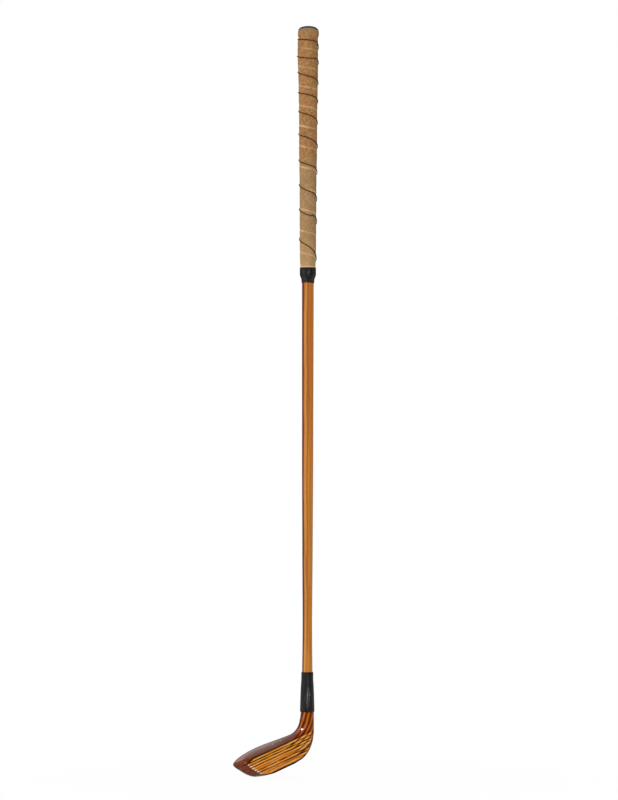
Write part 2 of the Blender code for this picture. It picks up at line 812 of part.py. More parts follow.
def make_sleeve(collection, parent):
    """Tapered sleeve over the joint of neck and shaft."""
    under = [(radius + GAP, height) for radius, height in neck_under_sleeve()]
    bottom = SLEEVE_BOTTOM_HEIGHT + GAP
    top_radius = SHAFT_NECK_DIAMETER / 2 + GAP
    wall = SLEEVE_WALL
    shoulder_radius = under[1][0] + wall
    outer = [
        (top_radius + wall - SLEEVE_EDGE / 2, SLEEVE_TOP_HEIGHT),
        (top_radius + wall, SLEEVE_TOP_HEIGHT - SLEEVE_EDGE),
        (max(top_radius, under[2][0]) + wall, under[2][1] + NECK_RIM_BEVEL / 3),
        (shoulder_radius, under[1][1]),
        (under[0][0] + wall + SLEEVE_BOTTOM_SWELL, bottom + 2 * SLEEVE_EDGE),
        (under[0][0] + wall - SLEEVE_EDGE / 2, bottom),
    ]
    inner = [
        (under[0][0], bottom),
        under[1],
        (under[2][0], under[2][1]),
        (max(top_radius, under[2][0]), under[2][1] + GAP),
        (top_radius, NECK_RIM_HEIGHT + SHOULDER_RISE),
        (top_radius, SLEEVE_TOP_HEIGHT),
    ]
    sleeve = turned("neck_sleeve", collection, parent, outer, inner)
    sleeve.data.materials.append(make_material("sleeve_thread", (0.03, 0.028, 0.028), 0.4))


def grip_radius(depth):
    """Radius of the leather's outside at a depth below the butt."""
    return through(GRIP_PROFILE, depth) / 2


def thread_depth(turn):
    """Depth of the thread at a number of turns."""
    return through(THREAD_WAY, turn)


def seam_depth(turn):
    """Depth of the strip's seam at a number of turns, which lies flatter at the front than at the back."""
    angle = 2 * pi * turn
    even = SEAM_FIRST_DEPTH + SEAM_PITCH * turn + SEAM_GROWTH * turn * turn
    return even + SEAM_PITCH / (2 * pi) * (SEAM_SAG * (1 - cos(angle)) - SEAM_SWING * sin(angle))


def turn_at(line, depth):
    """Number of turns at which a winding reaches a depth."""
    low, high = -5.0, 40.0
    for _ in range(50):
        middle = (low + high) / 2
        if line(middle) < depth:
            low = middle
        else:
            high = middle
    return low


def winding_point(turn, depth, radius):
    """Point of the winding: whole turns lie at the front, and it runs down from left to right there."""
    angle = 2 * pi * turn - pi / 2
    return Vector((radius * cos(angle), radius * sin(angle), CLUB_LENGTH - depth))


def make_leather_strip(collection, parent):
    """Spiral strip with level ends. Each turn ends a seam gap short of the next."""
    top = CAP_LENGTH + GAP
    bottom = LEATHER_END_DEPTH
    start = turn_at(seam_depth, top + STRIP_TIP) - 1
    end = turn_at(seam_depth, bottom - STRIP_TIP)
    columns = round((end - start) * TURN_POINTS)
    rows = 3
    edges = []
    for column in range(columns + 1):
        turn = mix(start, end, column / columns)
        upper = max(top, seam_depth(turn) + SEAM_GAP / 2)
        lower = min(bottom, seam_depth(turn + 1) - SEAM_GAP / 2)
        edges.append((turn, upper, lower))
    mesh = bpy.data.meshes.new("leather_strip")
    shape = bmesh.new()
    grid = []
    for turn, upper, lower in edges:
        line = []
        for row in range(rows + 1):
            depth = mix(upper, lower, row / rows)
            line.append(shape.verts.new(winding_point(turn, depth, grip_radius(depth))))
        grid.append(line)
    for first, second in zip(grid, grid[1:]):
        for row in range(rows):
            shape.faces.new((first[row], first[row + 1], second[row + 1], second[row]))
    gaps = []
    for column in range(columns + 1 - TURN_POINTS):
        lower_edge = grid[column][-1].co
        near = grid[column + TURN_POINTS - 1 : column + TURN_POINTS + 2]
        gaps.append(min((lower_edge - line[0].co).length for line in near))
    print(f"leather_strip: least gap to itself {min(gaps) * 1000:.2f} mm")
    shape.to_mesh(mesh)
    shape.free()
    shade_round(mesh)
    strip = place(bpy.data.objects.new("leather_strip", mesh), collection, parent)
    skin = strip.modifiers.new("thickness", "SOLIDIFY")
    skin.thickness = LEATHER_THICKNESS
    skin.offset = -1.0
    strip.data.materials.append(make_material("grip_leather", (0.38, 0.21, 0.09), 0.9))


def make_thread(collection, parent):
    """Thread over the leather, from the cap's edge to the band's, with square ends."""
    radius = THREAD_DIAMETER / 2
    start = THREAD_WAY[0][0]
    end = turn_at(thread_depth, BAND_TOP_DEPTH - GAP - THREAD_DIAMETER)
    steps = round((end - start) * TURN_POINTS)
    path = []
    for step in range(steps + 1):
        turn = mix(start, end, step / steps)
        depth = thread_depth(turn)
        path.append(winding_point(turn, depth, grip_radius(depth) + THREAD_SEAT + radius))
    gaps = []
    for k, point in enumerate(path):
        for other in path[k + TURN_POINTS // 2 : k + 2 * TURN_POINTS]:
            gaps.append((point - other).length - THREAD_DIAMETER)
    print(f"grip_thread: least gap to itself {min(gaps) * 1000:.2f} mm")
    curve = bpy.data.curves.new("grip_thread", "CURVE")
    curve.dimensions = "3D"
    curve.bevel_depth = radius
    curve.bevel_resolution = 1
    curve.use_fill_caps = True
    line = curve.splines.new("POLY")
    line.points.add(len(path) - 1)
    for point, place_of_point in zip(line.points, path):
        point.co = (*place_of_point, 1.0)
    thread = place(bpy.data.objects.new("grip_thread", curve), collection, parent)
    curve.materials.append(make_material("grip_thread", (0.05, 0.02, 0.01), 0.6))
    return thread


def make_underlisting(collection, parent):
    """Cloth layer between shaft and leather, which fills the cap at its top."""
    inset = LEATHER_THICKNESS + GAP
    outer = []
    top = CLUB_LENGTH - SHAFT_TOP
    for depth, diameter in CAP_PROFILE:
        if depth > top + GAP:
            outer.append((diameter / 2 - CAP_WALL - GAP, CLUB_LENGTH - depth))
    outer.insert(0, (outer[0][0] - 2 * GAP, SHAFT_TOP))
    for depth, diameter in GRIP_PROFILE[1:]:
        if depth < UNDERLISTING_END_DEPTH:
            outer.append((diameter / 2 - inset, CLUB_LENGTH - depth))
    end = CLUB_LENGTH - UNDERLISTING_END_DEPTH
    outer.append((grip_radius(UNDERLISTING_END_DEPTH) - inset, end))
    inner = [(shaft_radius(end) + GAP, end)]
    inner.append((SHAFT_BUTT_DIAMETER / 2 + GAP, SHAFT_TOP))
    listing = turned("grip_underlisting", collection, parent, outer, inner)
    listing.data.materials.append(make_material("listing_cloth", (0.30, 0.27, 0.22), 0.95))


def make_cap(collection, parent, cutters):
    """Leather cap over the butt, the disc on it and the tack through both."""
    outer = [(diameter / 2, CLUB_LENGTH - depth) for depth, diameter in CAP_PROFILE]
    inner = [(radius - CAP_WALL, height) for radius, height in reversed(outer) if height < SHAFT_TOP + GAP]
    inner.append((inner[-1][0] - GAP, SHAFT_TOP + GAP))
    bore = TACK_SHANK_DIAMETER / 2 + GAP
    cap_top = CLUB_LENGTH - CAP_PROFILE[0][0]
    inner += [(bore, SHAFT_TOP + GAP), (bore, cap_top)]
    cap = turned("leather_cap", collection, parent, outer, inner)
    cap.data.materials.append(make_material("cap_leather", (0.36, 0.20, 0.09), 0.9))

    steps = 6
    dome = []
    seat = TACK_HEAD_DIAMETER / 2 + GAP
    for step in range(steps + 1):
        radius = mix(seat, DISC_DIAMETER / 2, step / steps)
        drop = DISC_HEIGHT * (radius / (DISC_DIAMETER / 2)) ** 2
        dome.append((radius, CLUB_LENGTH - drop))
    under = cap_top + GAP
    dome.append((DISC_DIAMETER / 2 - GAP, under))
    floor = CLUB_LENGTH - TACK_HEAD_HEIGHT - GAP
    disc = turned("cap_disc", collection, parent, dome, [(bore, under), (bore, floor), (seat, floor)])
    disc.data.materials.append(make_material("disc_dark", (0.03, 0.02, 0.015), 0.5))

    head_low = CLUB_LENGTH - TACK_HEAD_HEIGHT
    shank = TACK_SHANK_DIAMETER / 2
    point = CLUB_LENGTH - TACK_LENGTH
    tack = turned(
        "cap_tack",
        collection,
        parent,
        [
            (0.0, CLUB_LENGTH),
            (TACK_HEAD_DIAMETER / 2 - GAP, CLUB_LENGTH),
            (TACK_HEAD_DIAMETER / 2, CLUB_LENGTH - GAP),
            (TACK_HEAD_DIAMETER / 2, head_low),
            (shank, head_low),
            (shank, point + 2 * TACK_SHANK_DIAMETER),
            (0.0, point),
        ],
    )
    tack.data.materials.append(make_material("tack_brass", (0.55, 0.40, 0.16), 0.4, 1.0))


def make_band(collection, parent):
    """Tape over the lower end of the leather, drawn in on to the shaft below it."""
    leather_end = LEATHER_END_DEPTH + GAP
    on_leather = grip_radius(BAND_TOP_DEPTH) + GAP
    end_height = CLUB_LENGTH - BAND_BOTTOM_DEPTH
    on_shaft = shaft_radius(end_height) + GAP
    wall = BAND_THICKNESS
    step_depth = LEATHER_END_DEPTH + BAND_DRAW
    outer = [
        (on_leather + wall, CLUB_LENGTH - BAND_TOP_DEPTH),
        (on_leather + wall, CLUB_LENGTH - LEATHER_END_DEPTH + BAND_FALL),
        (on_leather, CLUB_LENGTH - leather_end - wall),
        (on_shaft + wall, CLUB_LENGTH - step_depth),
        (on_shaft + wall / 2, end_height),
    ]
    inner = [
        (on_shaft, end_height),
        (shaft_radius(CLUB_LENGTH - step_depth) + GAP, CLUB_LENGTH - step_depth),
        (grip_radius(leather_end) + GAP, CLUB_LENGTH - leather_end),
        (on_leather, CLUB_LENGTH - BAND_TOP_DEPTH),
    ]
    band = turned("grip_band", collection, parent, outer, inner)
    band.data.materials.append(make_material("band_tape", (0.02, 0.02, 0.022), 0.45))


def main():
    """Build the putter."""
    clear_scene()
    scene = bpy.context.scene
    parts = bpy.data.collections.new("golf_putter")
    cutters = bpy.data.collections.new("cutters")
    scene.collection.children.link(parts)
    scene.collection.children.link(cutters)
    club = bpy.data.objects.new("club_frame", None)
    parts.objects.link(club)
    club.location = (0.0, 0.0, HOLD_DEPTH - CLUB_LENGTH)
    bpy.context.view_layer.update()
    make_shaft(parts, club, cutters)
    make_head(parts, club, cutters)
    make_sleeve(parts, club)
    make_underlisting(parts, club)
    make_leather_strip(parts, club)
    make_thread(parts, club)
    make_band(parts, club)
    make_cap(parts, club, cutters)
    bpy.context.view_layer.update()


main()
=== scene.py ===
"""Golf putter: carved wooden head, varnished shaft and wound leather grip.

Lengths are metres. The shaft's axis is the Z axis, the toe points along -X and the face along -Y.
Heights are measured up the axis from the heel point, and depths down it from the top of the butt.
"""

from math import cos, pi, radians, sin, tan

import bpy
from bpy.props import FloatProperty, FloatVectorProperty, PointerProperty
from mathutils import Matrix, Vector


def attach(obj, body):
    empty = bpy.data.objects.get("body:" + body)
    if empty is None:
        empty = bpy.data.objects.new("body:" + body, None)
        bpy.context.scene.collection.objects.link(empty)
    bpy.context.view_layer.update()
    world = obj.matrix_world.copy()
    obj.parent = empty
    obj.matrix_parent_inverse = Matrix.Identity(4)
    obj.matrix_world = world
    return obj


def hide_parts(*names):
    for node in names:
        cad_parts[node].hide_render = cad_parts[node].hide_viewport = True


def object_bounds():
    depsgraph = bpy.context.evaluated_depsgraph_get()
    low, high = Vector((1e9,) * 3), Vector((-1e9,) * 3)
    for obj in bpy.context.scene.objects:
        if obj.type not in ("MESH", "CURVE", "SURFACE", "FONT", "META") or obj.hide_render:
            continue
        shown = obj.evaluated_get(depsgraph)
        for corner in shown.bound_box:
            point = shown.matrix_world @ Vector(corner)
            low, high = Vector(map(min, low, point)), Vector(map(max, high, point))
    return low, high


bl_info = {
    "name": "Golf Putter",
    "version": (1, 0, 0),
    "blender": (4, 5, 0),
    "location": "View3D > Sidebar > Putter",
    "description": "Makes the visible pieces of a wooden golf putter",
    "category": "Add Mesh",
}

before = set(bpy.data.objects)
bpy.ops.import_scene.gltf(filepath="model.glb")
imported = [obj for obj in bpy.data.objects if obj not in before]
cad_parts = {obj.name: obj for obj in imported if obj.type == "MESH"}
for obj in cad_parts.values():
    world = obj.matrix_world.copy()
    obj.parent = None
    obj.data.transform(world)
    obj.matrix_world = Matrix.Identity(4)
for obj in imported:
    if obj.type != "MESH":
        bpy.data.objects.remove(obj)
CAD_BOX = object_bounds()

# Whole club
CLUB_LENGTH = 0.864
HEEL_Z = -0.724
BUTT_Z = HEEL_Z + CLUB_LENGTH
GAP = 0.0003
LIE_TILT = radians(25.0)
HEAD_FRAME = Matrix.Translation((0.0, 0.0, HEEL_Z)) @ Matrix.Rotation(-LIE_TILT, 4, "Y")

# Shaft
SHAFT_BUTT_DIAMETER = 0.0146
SHAFT_GRIP_DIAMETER = 0.0138
SHAFT_NECK_DIAMETER = 0.0122
SHAFT_BUTT_EDGE = 0.001
SHOULDER_RISE = 0.0018
TIP_TOP_DIAMETER = 0.0098
TIP_END_DIAMETER = 0.0078
TIP_END_HEIGHT = 0.024

# Head outline and depth
HEAD_REACH = 0.0832
HEAD_HEIGHT = 0.0355
TOE_TIP_HEIGHT = 0.0285
SADDLE_HEIGHT = 0.0329
SOLE_CUT = 0.0006
HEEL_START = 0.010
BEND_HEIGHT = 0.0444
HEEL_EASE = 0.88
TOE_START_SHARE = 0.03
HEAD_BACK = 0.041
HEEL_BACK = 0.0155
TOE_TIP_BACK = 0.003
RIDGE_BACK = 0.008
RIDGE_BACK_SHARE = 0.6
HEEL_RIDGE_BACK = 0.0064

# Face and its lines
FACE_OFFSET = 0.0092
FACE_LOFT = radians(3.0)
FACE_TOP = 0.0267
FACE_CORNER_SHARE = 0.475
FACE_RUN_RADIUS = 0.050
FACE_RUN_ANGLE = radians(35.0)
FACE_RUN_STEPS = 24
GROOVE_COUNT = 7
GROOVE_PITCH = 0.00296
GROOVE_FIRST = 0.0053
GROOVE_OVERRUN = 0.001

# Neck and its whipping
NECK_DIAMETER = 0.0156
NECK_SADDLE_SWELL = 0.0012
NECK_REBATE = 0.0003
NECK_SHOULDER_DIAMETER = 0.0132
NECK_RIM_DIAMETER = 0.0121
NECK_RIM_HEIGHT = 0.092
NECK_RIM_BEVEL = 0.0065
SLEEVE_BOTTOM_HEIGHT = 0.0539
SLEEVE_TOP_HEIGHT = 0.1011
SLEEVE_WALL = 0.0007
SLEEVE_BOTTOM_SWELL = 0.0001
SLEEVE_EDGE = 0.0005
RIDGE_STEPS = 5

# Slip, pegs and weight
SLIP_TOE_END = 0.0546
SLIP_HEEL_END = 0.0007
SLIP_THICKNESS = 0.0020
SLIP_DEPTH = 0.012
PEG_DIAMETER = 0.0032
PEG_LENGTH = 0.011
PEG_EDGE = 0.0002
PEG_SPACING = 0.010
PEG_FIRST = 0.018
PEG_SETBACK = 0.0062
WEIGHT_LENGTH = 0.036
WEIGHT_WIDTH = 0.012
WEIGHT_DEPTH = 0.022
WEIGHT_REACH = 0.049
WEIGHT_HEIGHT = 0.0150

# Leather, its seams and its unevenness
CAP_LENGTH = 0.0138
CAP_WALL = 0.0015
CAP_JOINT = 0.00006
CAP_GATHER = 0.00016
CAP_BULGE = 0.00035
LEATHER_END_DEPTH = 0.2957
LEATHER_THICKNESS = 0.0012
LEATHER_BULGE = 0.0009
LEATHER_WAVE = 0.00008
LEATHER_ROOM = 0.0001
BULGE_START = 0.012
BULGE_RISE = 0.008
BULGE_END = 0.062
BULGE_FALL = 0.030
UNDERLISTING_END_DEPTH = 0.255
UNDERLISTING_STEP = 0.002
STRIP_TIP = 0.0015
SEAM_FIRST_DEPTH = 0.0500
SEAM_PITCH = 0.0228
SEAM_GROWTH = 0.00018
SEAM_SWING = 0.50
SEAM_SAG = 0.18
SEAM_ROLL = 0.00025
SEAM_ROLL_WIDTH = 0.0012

# Thread over the leather
THREAD_SEAT = 0.0002
THREAD_PRESS_WIDTH = 0.003
THREAD_SAMPLES = 3000
THREAD_RING_SPACING = 0.00036
THREAD_PLIES = 3
PLY_RELIEF = 0.13

# Band of tape
BAND_LAP = 0.0104
BAND_TAIL = 0.0078
BAND_FALL = 0.0018
BAND_DRAW = 0.0037
BAND_THICKNESS = 0.0006
TAPE_THICKNESS = 0.00033
FOLD_FLOOR = -0.00024
FOLD_LEAD = 0.003
FOLD_RUN = 0.008
HEM_SIDES = 0.0004
HEM_RIGHT = 0.0005
HEM_WAVE = 0.0003
HEM_LEVEL = 0.0006
BAND_TOP_DEPTH = LEATHER_END_DEPTH - BAND_LAP
BAND_BOTTOM_DEPTH = LEATHER_END_DEPTH + BAND_TAIL

# Disc and tack
DISC_DIAMETER = 0.0198
DISC_HEIGHT = 0.0022
DISC_POWER = 2.4
TACK_HEAD_DIAMETER = 0.0044
TACK_HEAD_HEIGHT = 0.0008
TACK_SHANK_DIAMETER = 0.0014
TACK_LENGTH = 0.0145

# Way of the thread as the hand laid it: turns, whole ones at the front, and depth
THREAD_WAY = (
    (-0.40, 0.0157), (-0.25, 0.0161), (0.0, 0.0174), (0.167, 0.0199), (0.25, 0.0254), (0.75, 0.0359),
    (1.0, 0.0389), (1.167, 0.0397), (1.25, 0.0436), (1.75, 0.0547), (2.0, 0.0599), (2.167, 0.0638),
    (2.25, 0.0677), (2.75, 0.0788), (3.0, 0.0819), (3.167, 0.0855), (3.25, 0.0894), (3.75, 0.1011),
    (4.0, 0.1054), (4.167, 0.1104), (4.25, 0.1144), (4.75, 0.1278), (5.0, 0.1326), (5.167, 0.1382),
    (5.25, 0.1422), (5.75, 0.1587), (6.0, 0.1642), (6.167, 0.1683), (6.25, 0.1728), (6.75, 0.1880),
    (7.0, 0.1950), (7.167, 0.1998), (7.25, 0.2047), (7.75, 0.2168), (8.0, 0.2234), (8.167, 0.2256),
    (8.25, 0.2309), (8.75, 0.2518), (9.0, 0.2600), (9.167, 0.2685), (9.25, 0.2746), (9.75, 0.2900),
)

# Height and diameter of the bare shaft
SHAFT_PROFILE = (
    (SLEEVE_TOP_HEIGHT, SHAFT_NECK_DIAMETER), (0.115, 0.0119), (0.129, 0.0115), (0.146, 0.0113),
    (0.158, 0.0112), (0.172, 0.0113), (0.200, 0.0117), (0.229, 0.0121), (0.271, 0.0125), (0.300, 0.0128),
    (0.328, 0.0131), (0.399, 0.0133), (0.470, 0.0136), (CLUB_LENGTH - LEATHER_END_DEPTH, SHAFT_GRIP_DIAMETER),
)

# Depth and diameter of the wound leather, and of the cap
GRIP_PROFILE = (
    (CAP_LENGTH, 0.0229), (0.054, 0.0230), (0.068, 0.0224), (0.083, 0.0219), (0.097, 0.0213),
    (0.111, 0.0210), (0.139, 0.0210), (0.153, 0.0207), (0.168, 0.0201), (0.182, 0.0196), (0.210, 0.0193),
    (0.253, 0.0189), (0.275, 0.0184), (0.2855, 0.0174), (LEATHER_END_DEPTH, 0.0168),
)
CAP_PROFILE = (
    (0.0026, 0.0198), (0.0035, 0.0223), (0.0047, 0.0234), (0.0065, 0.0243), (0.0105, 0.0246),
    (0.0130, 0.0237), (CAP_LENGTH, 0.0233),
)

# Outlines of the head: place along it, 0 at the toe tip and 1 at the heel, then a level
SOLE_SHAPE = (
    (0.0, 1.0), (0.231, 0.700), (0.353, 0.430), (0.456, 0.230), (0.569, 0.113), (0.673, 0.048),
    (0.768, 0.0), (0.940, 0.0),
)
CROWN_SHAPE = ((0.0, 0.0), (0.196, 0.40), (0.401, 0.786), (0.667, 1.0))
FRONT_SHAPE = (
    (0.0, 0.0), (0.165, 0.28), (0.234, 0.43), (0.331, 0.65), (0.405, 0.83), (FACE_CORNER_SHARE, 1.0),
    (0.523, 1.14), (0.573, 1.28), (0.626, 1.39), (0.720, 1.5), (1.0, 1.5),
)
BACK_SHAPE = (
    (0.0, 0.0), (0.20, 0.30), (0.36, 0.56), (0.50, 0.80), (0.60, 0.945), (0.69, 1.0), (0.78, 0.92),
    (0.89, 0.61),
)
FRONT_POWER = ((0.0, 2.0), (0.52, 2.0), (0.63, 3.0), (0.75, 3.5))
BACK_POWER = 2.4
BACK_BELLY_SHARE = 0.40
TOE_BELLY_SHARE = 0.60
ROUND_BELLY_SHARE = 0.50
ROUND_POWER = 2.0

# Fineness of the pieces
RING_QUARTER = 22
TOE_STATIONS = 64
BEND_STATIONS = 36
ROUND_STEPS = 72
REACH_OF_CUTS = 0.12
MERGE_DISTANCE = 0.000001
CREASE = radians(32.0)

# Pattern of the head's wood, in the head's own frame
GRAIN_CENTRE_X = -0.018
GRAIN_CENTRE_Z = 0.0702
GRAIN_ARM = 0.045
GRAIN_PITCH = 0.0046
GRAIN_TURN = radians(51.0)
FACE_STAIN_TOP = 0.0256
LAND_END_SLOPE = 0.629
LAND_END_X = -0.0527
HEEL_RIM = 0.0017

# Painted highlights, pale spots on crown and toe: place along the head and up it, and half their length
PAINTED_GLINTS = ((-0.0299, 0.0317, 0.0011), (-0.0195, 0.0315, 0.0010), (-0.0685, 0.0252, 0.0012))

# Painted shade on the cap's rounded edge: how much lower it runs, per square metre off the axis
CAP_SHADE_FALL = 22.0

# Studio
CAMERA_PLACE = (0.00155, -5.2488, -0.3017)
CAMERA_ROLL = radians(-0.085)
CAMERA_LENS = 200.0
FLOOR_RADIUS = 0.5
FLOOR_DROP = 0.001
FRONT_LEVEL = 1.24
BACK_LEVEL = 0.12
LIGHT_SIDE = (-0.44, -0.898, 0.0)
CURTAIN_LEVEL = 0.030
CURTAIN_FLOOR = 0.28
CURTAIN_CEILING = 0.12
CURTAIN_TOP = 7.0
CURTAIN_DROP = 0.0005
CURTAIN_BACK = 9.0
CURTAIN_SPAN = (14.0, 32.0)
CURTAIN_EYE = (-0.04, 0.0, -0.71)
WHITE = (1.0, 1.0, 1.0, 1.0)

# Bright cloths on the curtains: azimuth from the camera's side toward +X, its full and outer
# reach to either side, strength, and how high and low they hang as a share of straight up
SIDE_CLOTHS = (
    (radians(-57.0), radians(5.0), radians(22.0), 1.5, 0.12),
    (radians(106.0), radians(14.0), radians(34.0), 0.50, 0.3),
)
# The cloth above the head: direction, full and outer reach, and strength
TOP_CLOTH = ((-0.42, 0.43, 0.80), radians(8.0), radians(50.0), 1.30)

# Points that the lamps look at
GRIP, HEAD, TOE = (0.0, 0.0, -0.35), (-0.045, 0.0, -0.71), (-0.0715, 0.0, -0.7215)
NECK = (-0.0051, -0.008, -0.689)
SLEEVE = (0.0014, -0.0071, -0.6465)

# Lamps: name, place, width and height, watts, what they look at, angle of spread, whether they
# light the club, and whether they show in its reflections
LAMPS = (
    ("left_strip", (-1.75, -0.95, -0.30), (0.40, 1.9), 4.0, GRIP, pi, True, False),
    ("ceiling", (-0.86, 1.10, 1.00), (1.20, 0.90), 3.2, HEAD, pi, True, False),
    ("toe_glow", (-0.1540, 0.012, -0.643), (0.07, 0.07), 0.020, TOE, pi, False, True),
    ("spark", (0.0050, -0.173, -0.7265), (0.0033, 0.0052), 0.0160, NECK, pi, False, True),
    ("sheen", (0.0630, -0.2494, -0.6400), (0.020, 0.038), 0.0025, SLEEVE, radians(3.0), False, True),
)


def linear(code):
    """Linear colour of an sRGB hex value."""
    shares = [int(code[k : k + 2], 16) / 255 for k in (1, 3, 5)]
    return tuple(s / 12.92 if s <= 0.04045 else ((s + 0.055) / 1.055) ** 2.4 for s in shares)


def through(points, x):
    """Value at x of a smooth line through the points, level beyond its ends."""
    if x <= points[0][0]:
        return points[0][1]
    if x >= points[-1][0]:
        return points[-1][1]
    slopes = [(b[1] - a[1]) / (b[0] - a[0]) for a, b in zip(points, points[1:])]
    bends = [slopes[0]]
    bends += [(a + b) / 2 if a * b > 0 else 0.0 for a, b in zip(slopes, slopes[1:])]
    bends.append(slopes[-1])
    k = max(i for i in range(len(points) - 1) if points[i][0] <= x)
    span = points[k + 1][0] - points[k][0]
    t = (x - points[k][0]) / span
    start = points[k][1] * (1 + 2 * t) * (1 - t) ** 2 + bends[k] * span * t * (1 - t) ** 2
    end = points[k + 1][1] * (3 - 2 * t) * t**2 + bends[k + 1] * span * (t - 1) * t**2
    return start + end


def mix(a, b, share):
    """Value that lies the given share of the way from a to b."""
    return a + (b - a) * share


def spread(first, last, steps):
    """Values from first to last in even steps."""
    return [mix(first, last, step / steps) for step in range(steps + 1)]


def ease(share):
    """Share of a change that starts and ends gently."""
    share = max(0.0, min(1.0, share))
    return share * share * (3 - 2 * share)


def around(radius, angle, height):
    """Point at a radius and an angle about the shaft's axis."""
    return Vector((radius * cos(angle), radius * sin(angle), height))


def face_depth(height):
    """Y of the face's plane at a height above the sole."""
    return -FACE_OFFSET + height * tan(FACE_LOFT)


def fitted(shape, start, end, *more):
    """Outline whose levels 0 and 1 are put at start and end, with more points after it."""
    return [*((place, mix(start, end, level)) for place, level in shape), *more]


NECK_RADIUS = NECK_DIAMETER / 2
BODY_LENGTH = HEAD_REACH - HEEL_START
BEND_ARM = (BEND_HEIGHT * sin(LIE_TILT) + HEEL_START) / cos(LIE_TILT)
BEND_CENTRE_Z = BEND_HEIGHT * cos(LIE_TILT) + BEND_ARM * sin(LIE_TILT)
BEND_ANGLE = pi / 2 - LIE_TILT
BEND_RUN = BEND_ANGLE * BEND_ARM
BEND_END = (1 + BEND_RUN / BODY_LENGTH) ** 0.5
SHAFT_TOP = CLUB_LENGTH - CAP_PROFILE[0][0] - CAP_WALL - GAP
GRIP_END = CLUB_LENGTH - LEATHER_END_DEPTH
TACK_BORE = TACK_SHANK_DIAMETER / 2 + GAP
SOLE_LINE = fitted(SOLE_SHAPE, -SOLE_CUT, TOE_TIP_HEIGHT, (1.0, SOLE_CUT))
CROWN_LINE = fitted(CROWN_SHAPE, TOE_TIP_HEIGHT, HEAD_HEIGHT, (1.0, SADDLE_HEIGHT))
FRONT_LINE = fitted(FRONT_SHAPE, TOE_TIP_BACK, face_depth(FACE_TOP), (BEND_END, -NECK_RADIUS))
BACK_LINE = fitted(BACK_SHAPE, TOE_TIP_BACK, HEAD_BACK, (1.0, HEEL_BACK), (BEND_END, NECK_RADIUS))
RIDGE_LINE = (
    (0.0, TOE_TIP_BACK),
    (RIDGE_BACK_SHARE, RIDGE_BACK),
    (1.0, HEEL_RIDGE_BACK),
    (BEND_END, 0.0),
)

# Rounding of a section that has become the neck's circle
ROUND_SECTION = {
    "front_belly": ROUND_BELLY_SHARE,
    "back_belly": ROUND_BELLY_SHARE,
    "front_power": ROUND_POWER,
    "back_power": ROUND_POWER,
}

# Radius and height of the neck inside the whipping, from the bottom up
NECK_UNDER_SLEEVE = (
    (NECK_RADIUS - NECK_REBATE, SLEEVE_BOTTOM_HEIGHT),
    (NECK_SHOULDER_DIAMETER / 2, NECK_RIM_HEIGHT - NECK_RIM_BEVEL),
    (NECK_RIM_DIAMETER / 2, NECK_RIM_HEIGHT),
)


# Modelling steps


def clear_selection():
    """Leave edit mode and select nothing."""
    if bpy.context.mode != "OBJECT":
        bpy.ops.object.mode_set(mode="OBJECT")
    bpy.ops.object.select_all(action="DESELECT")


def pick(piece):
    """Select one piece only."""
    clear_selection()
    piece.select_set(True)
    bpy.context.view_layer.objects.active = piece


def edit_all(piece):
    """Open one piece in edit mode with all of it selected."""
    pick(piece)
    bpy.ops.object.mode_set(mode="EDIT")
    bpy.ops.mesh.select_all(action="SELECT")


def apply(piece, kind, **settings):
    """Add a modifier with its settings and apply it."""
    pick(piece)
    step = piece.modifiers.new(kind.lower(), kind)
    for name, value in settings.items():
        setattr(step, name, value)
    bpy.ops.object.modifier_apply(modifier=step.name)


def carve(piece, cutter, operation="DIFFERENCE"):
    """Cut one piece with another shape."""
    apply(piece, "BOOLEAN", operation=operation, solver="EXACT", object=cutter)


def discard(*shapes):
    """Remove shapes that only helped to cut."""
    for shape in shapes:
        bpy.data.objects.remove(shape, do_unlink=True)


def twin(piece, name):
    """Copy of a piece with its own mesh."""
    made = bpy.data.objects.new(name, piece.data.copy())
    bpy.context.scene.collection.objects.link(made)
    return made


def added(name, shape, **settings):
    """Object that one of Blender's basic shapes makes, with a name."""
    clear_selection()
    shape(**settings)
    made = bpy.context.active_object
    made.name = made.data.name = name
    return made


def drawn_surface(name, columns, rows, place, closed=True):
    """Grid whose points are moved to their places. Columns run along the piece and rows round it.

    A closed one has its seam merged, its ends filled and its faces turned outwards.
    """
    shape = bpy.ops.mesh.primitive_grid_add
    piece = added(name, shape, x_subdivisions=columns, y_subdivisions=rows, size=1.0)
    for point in piece.data.vertices:
        point.co = place(round((point.co.x + 0.5) * columns), round((point.co.y + 0.5) * rows))
    if closed:
        edit_all(piece)
        bpy.ops.mesh.remove_doubles(threshold=MERGE_DISTANCE)
        bpy.ops.mesh.fill_holes(sides=0)
        bpy.ops.mesh.normals_make_consistent(inside=False)
    clear_selection()
    return piece


def thickened(piece, thickness):
    """Turn the faces of an open surface outwards and give it thickness on its inside."""
    first = piece.data.polygons[0]
    if first.normal.dot(Vector((first.center.x, first.center.y, 0.0))) < 0:
        edit_all(piece)
        bpy.ops.mesh.flip_normals()
    apply(piece, "SOLIDIFY", thickness=thickness, offset=-1.0)


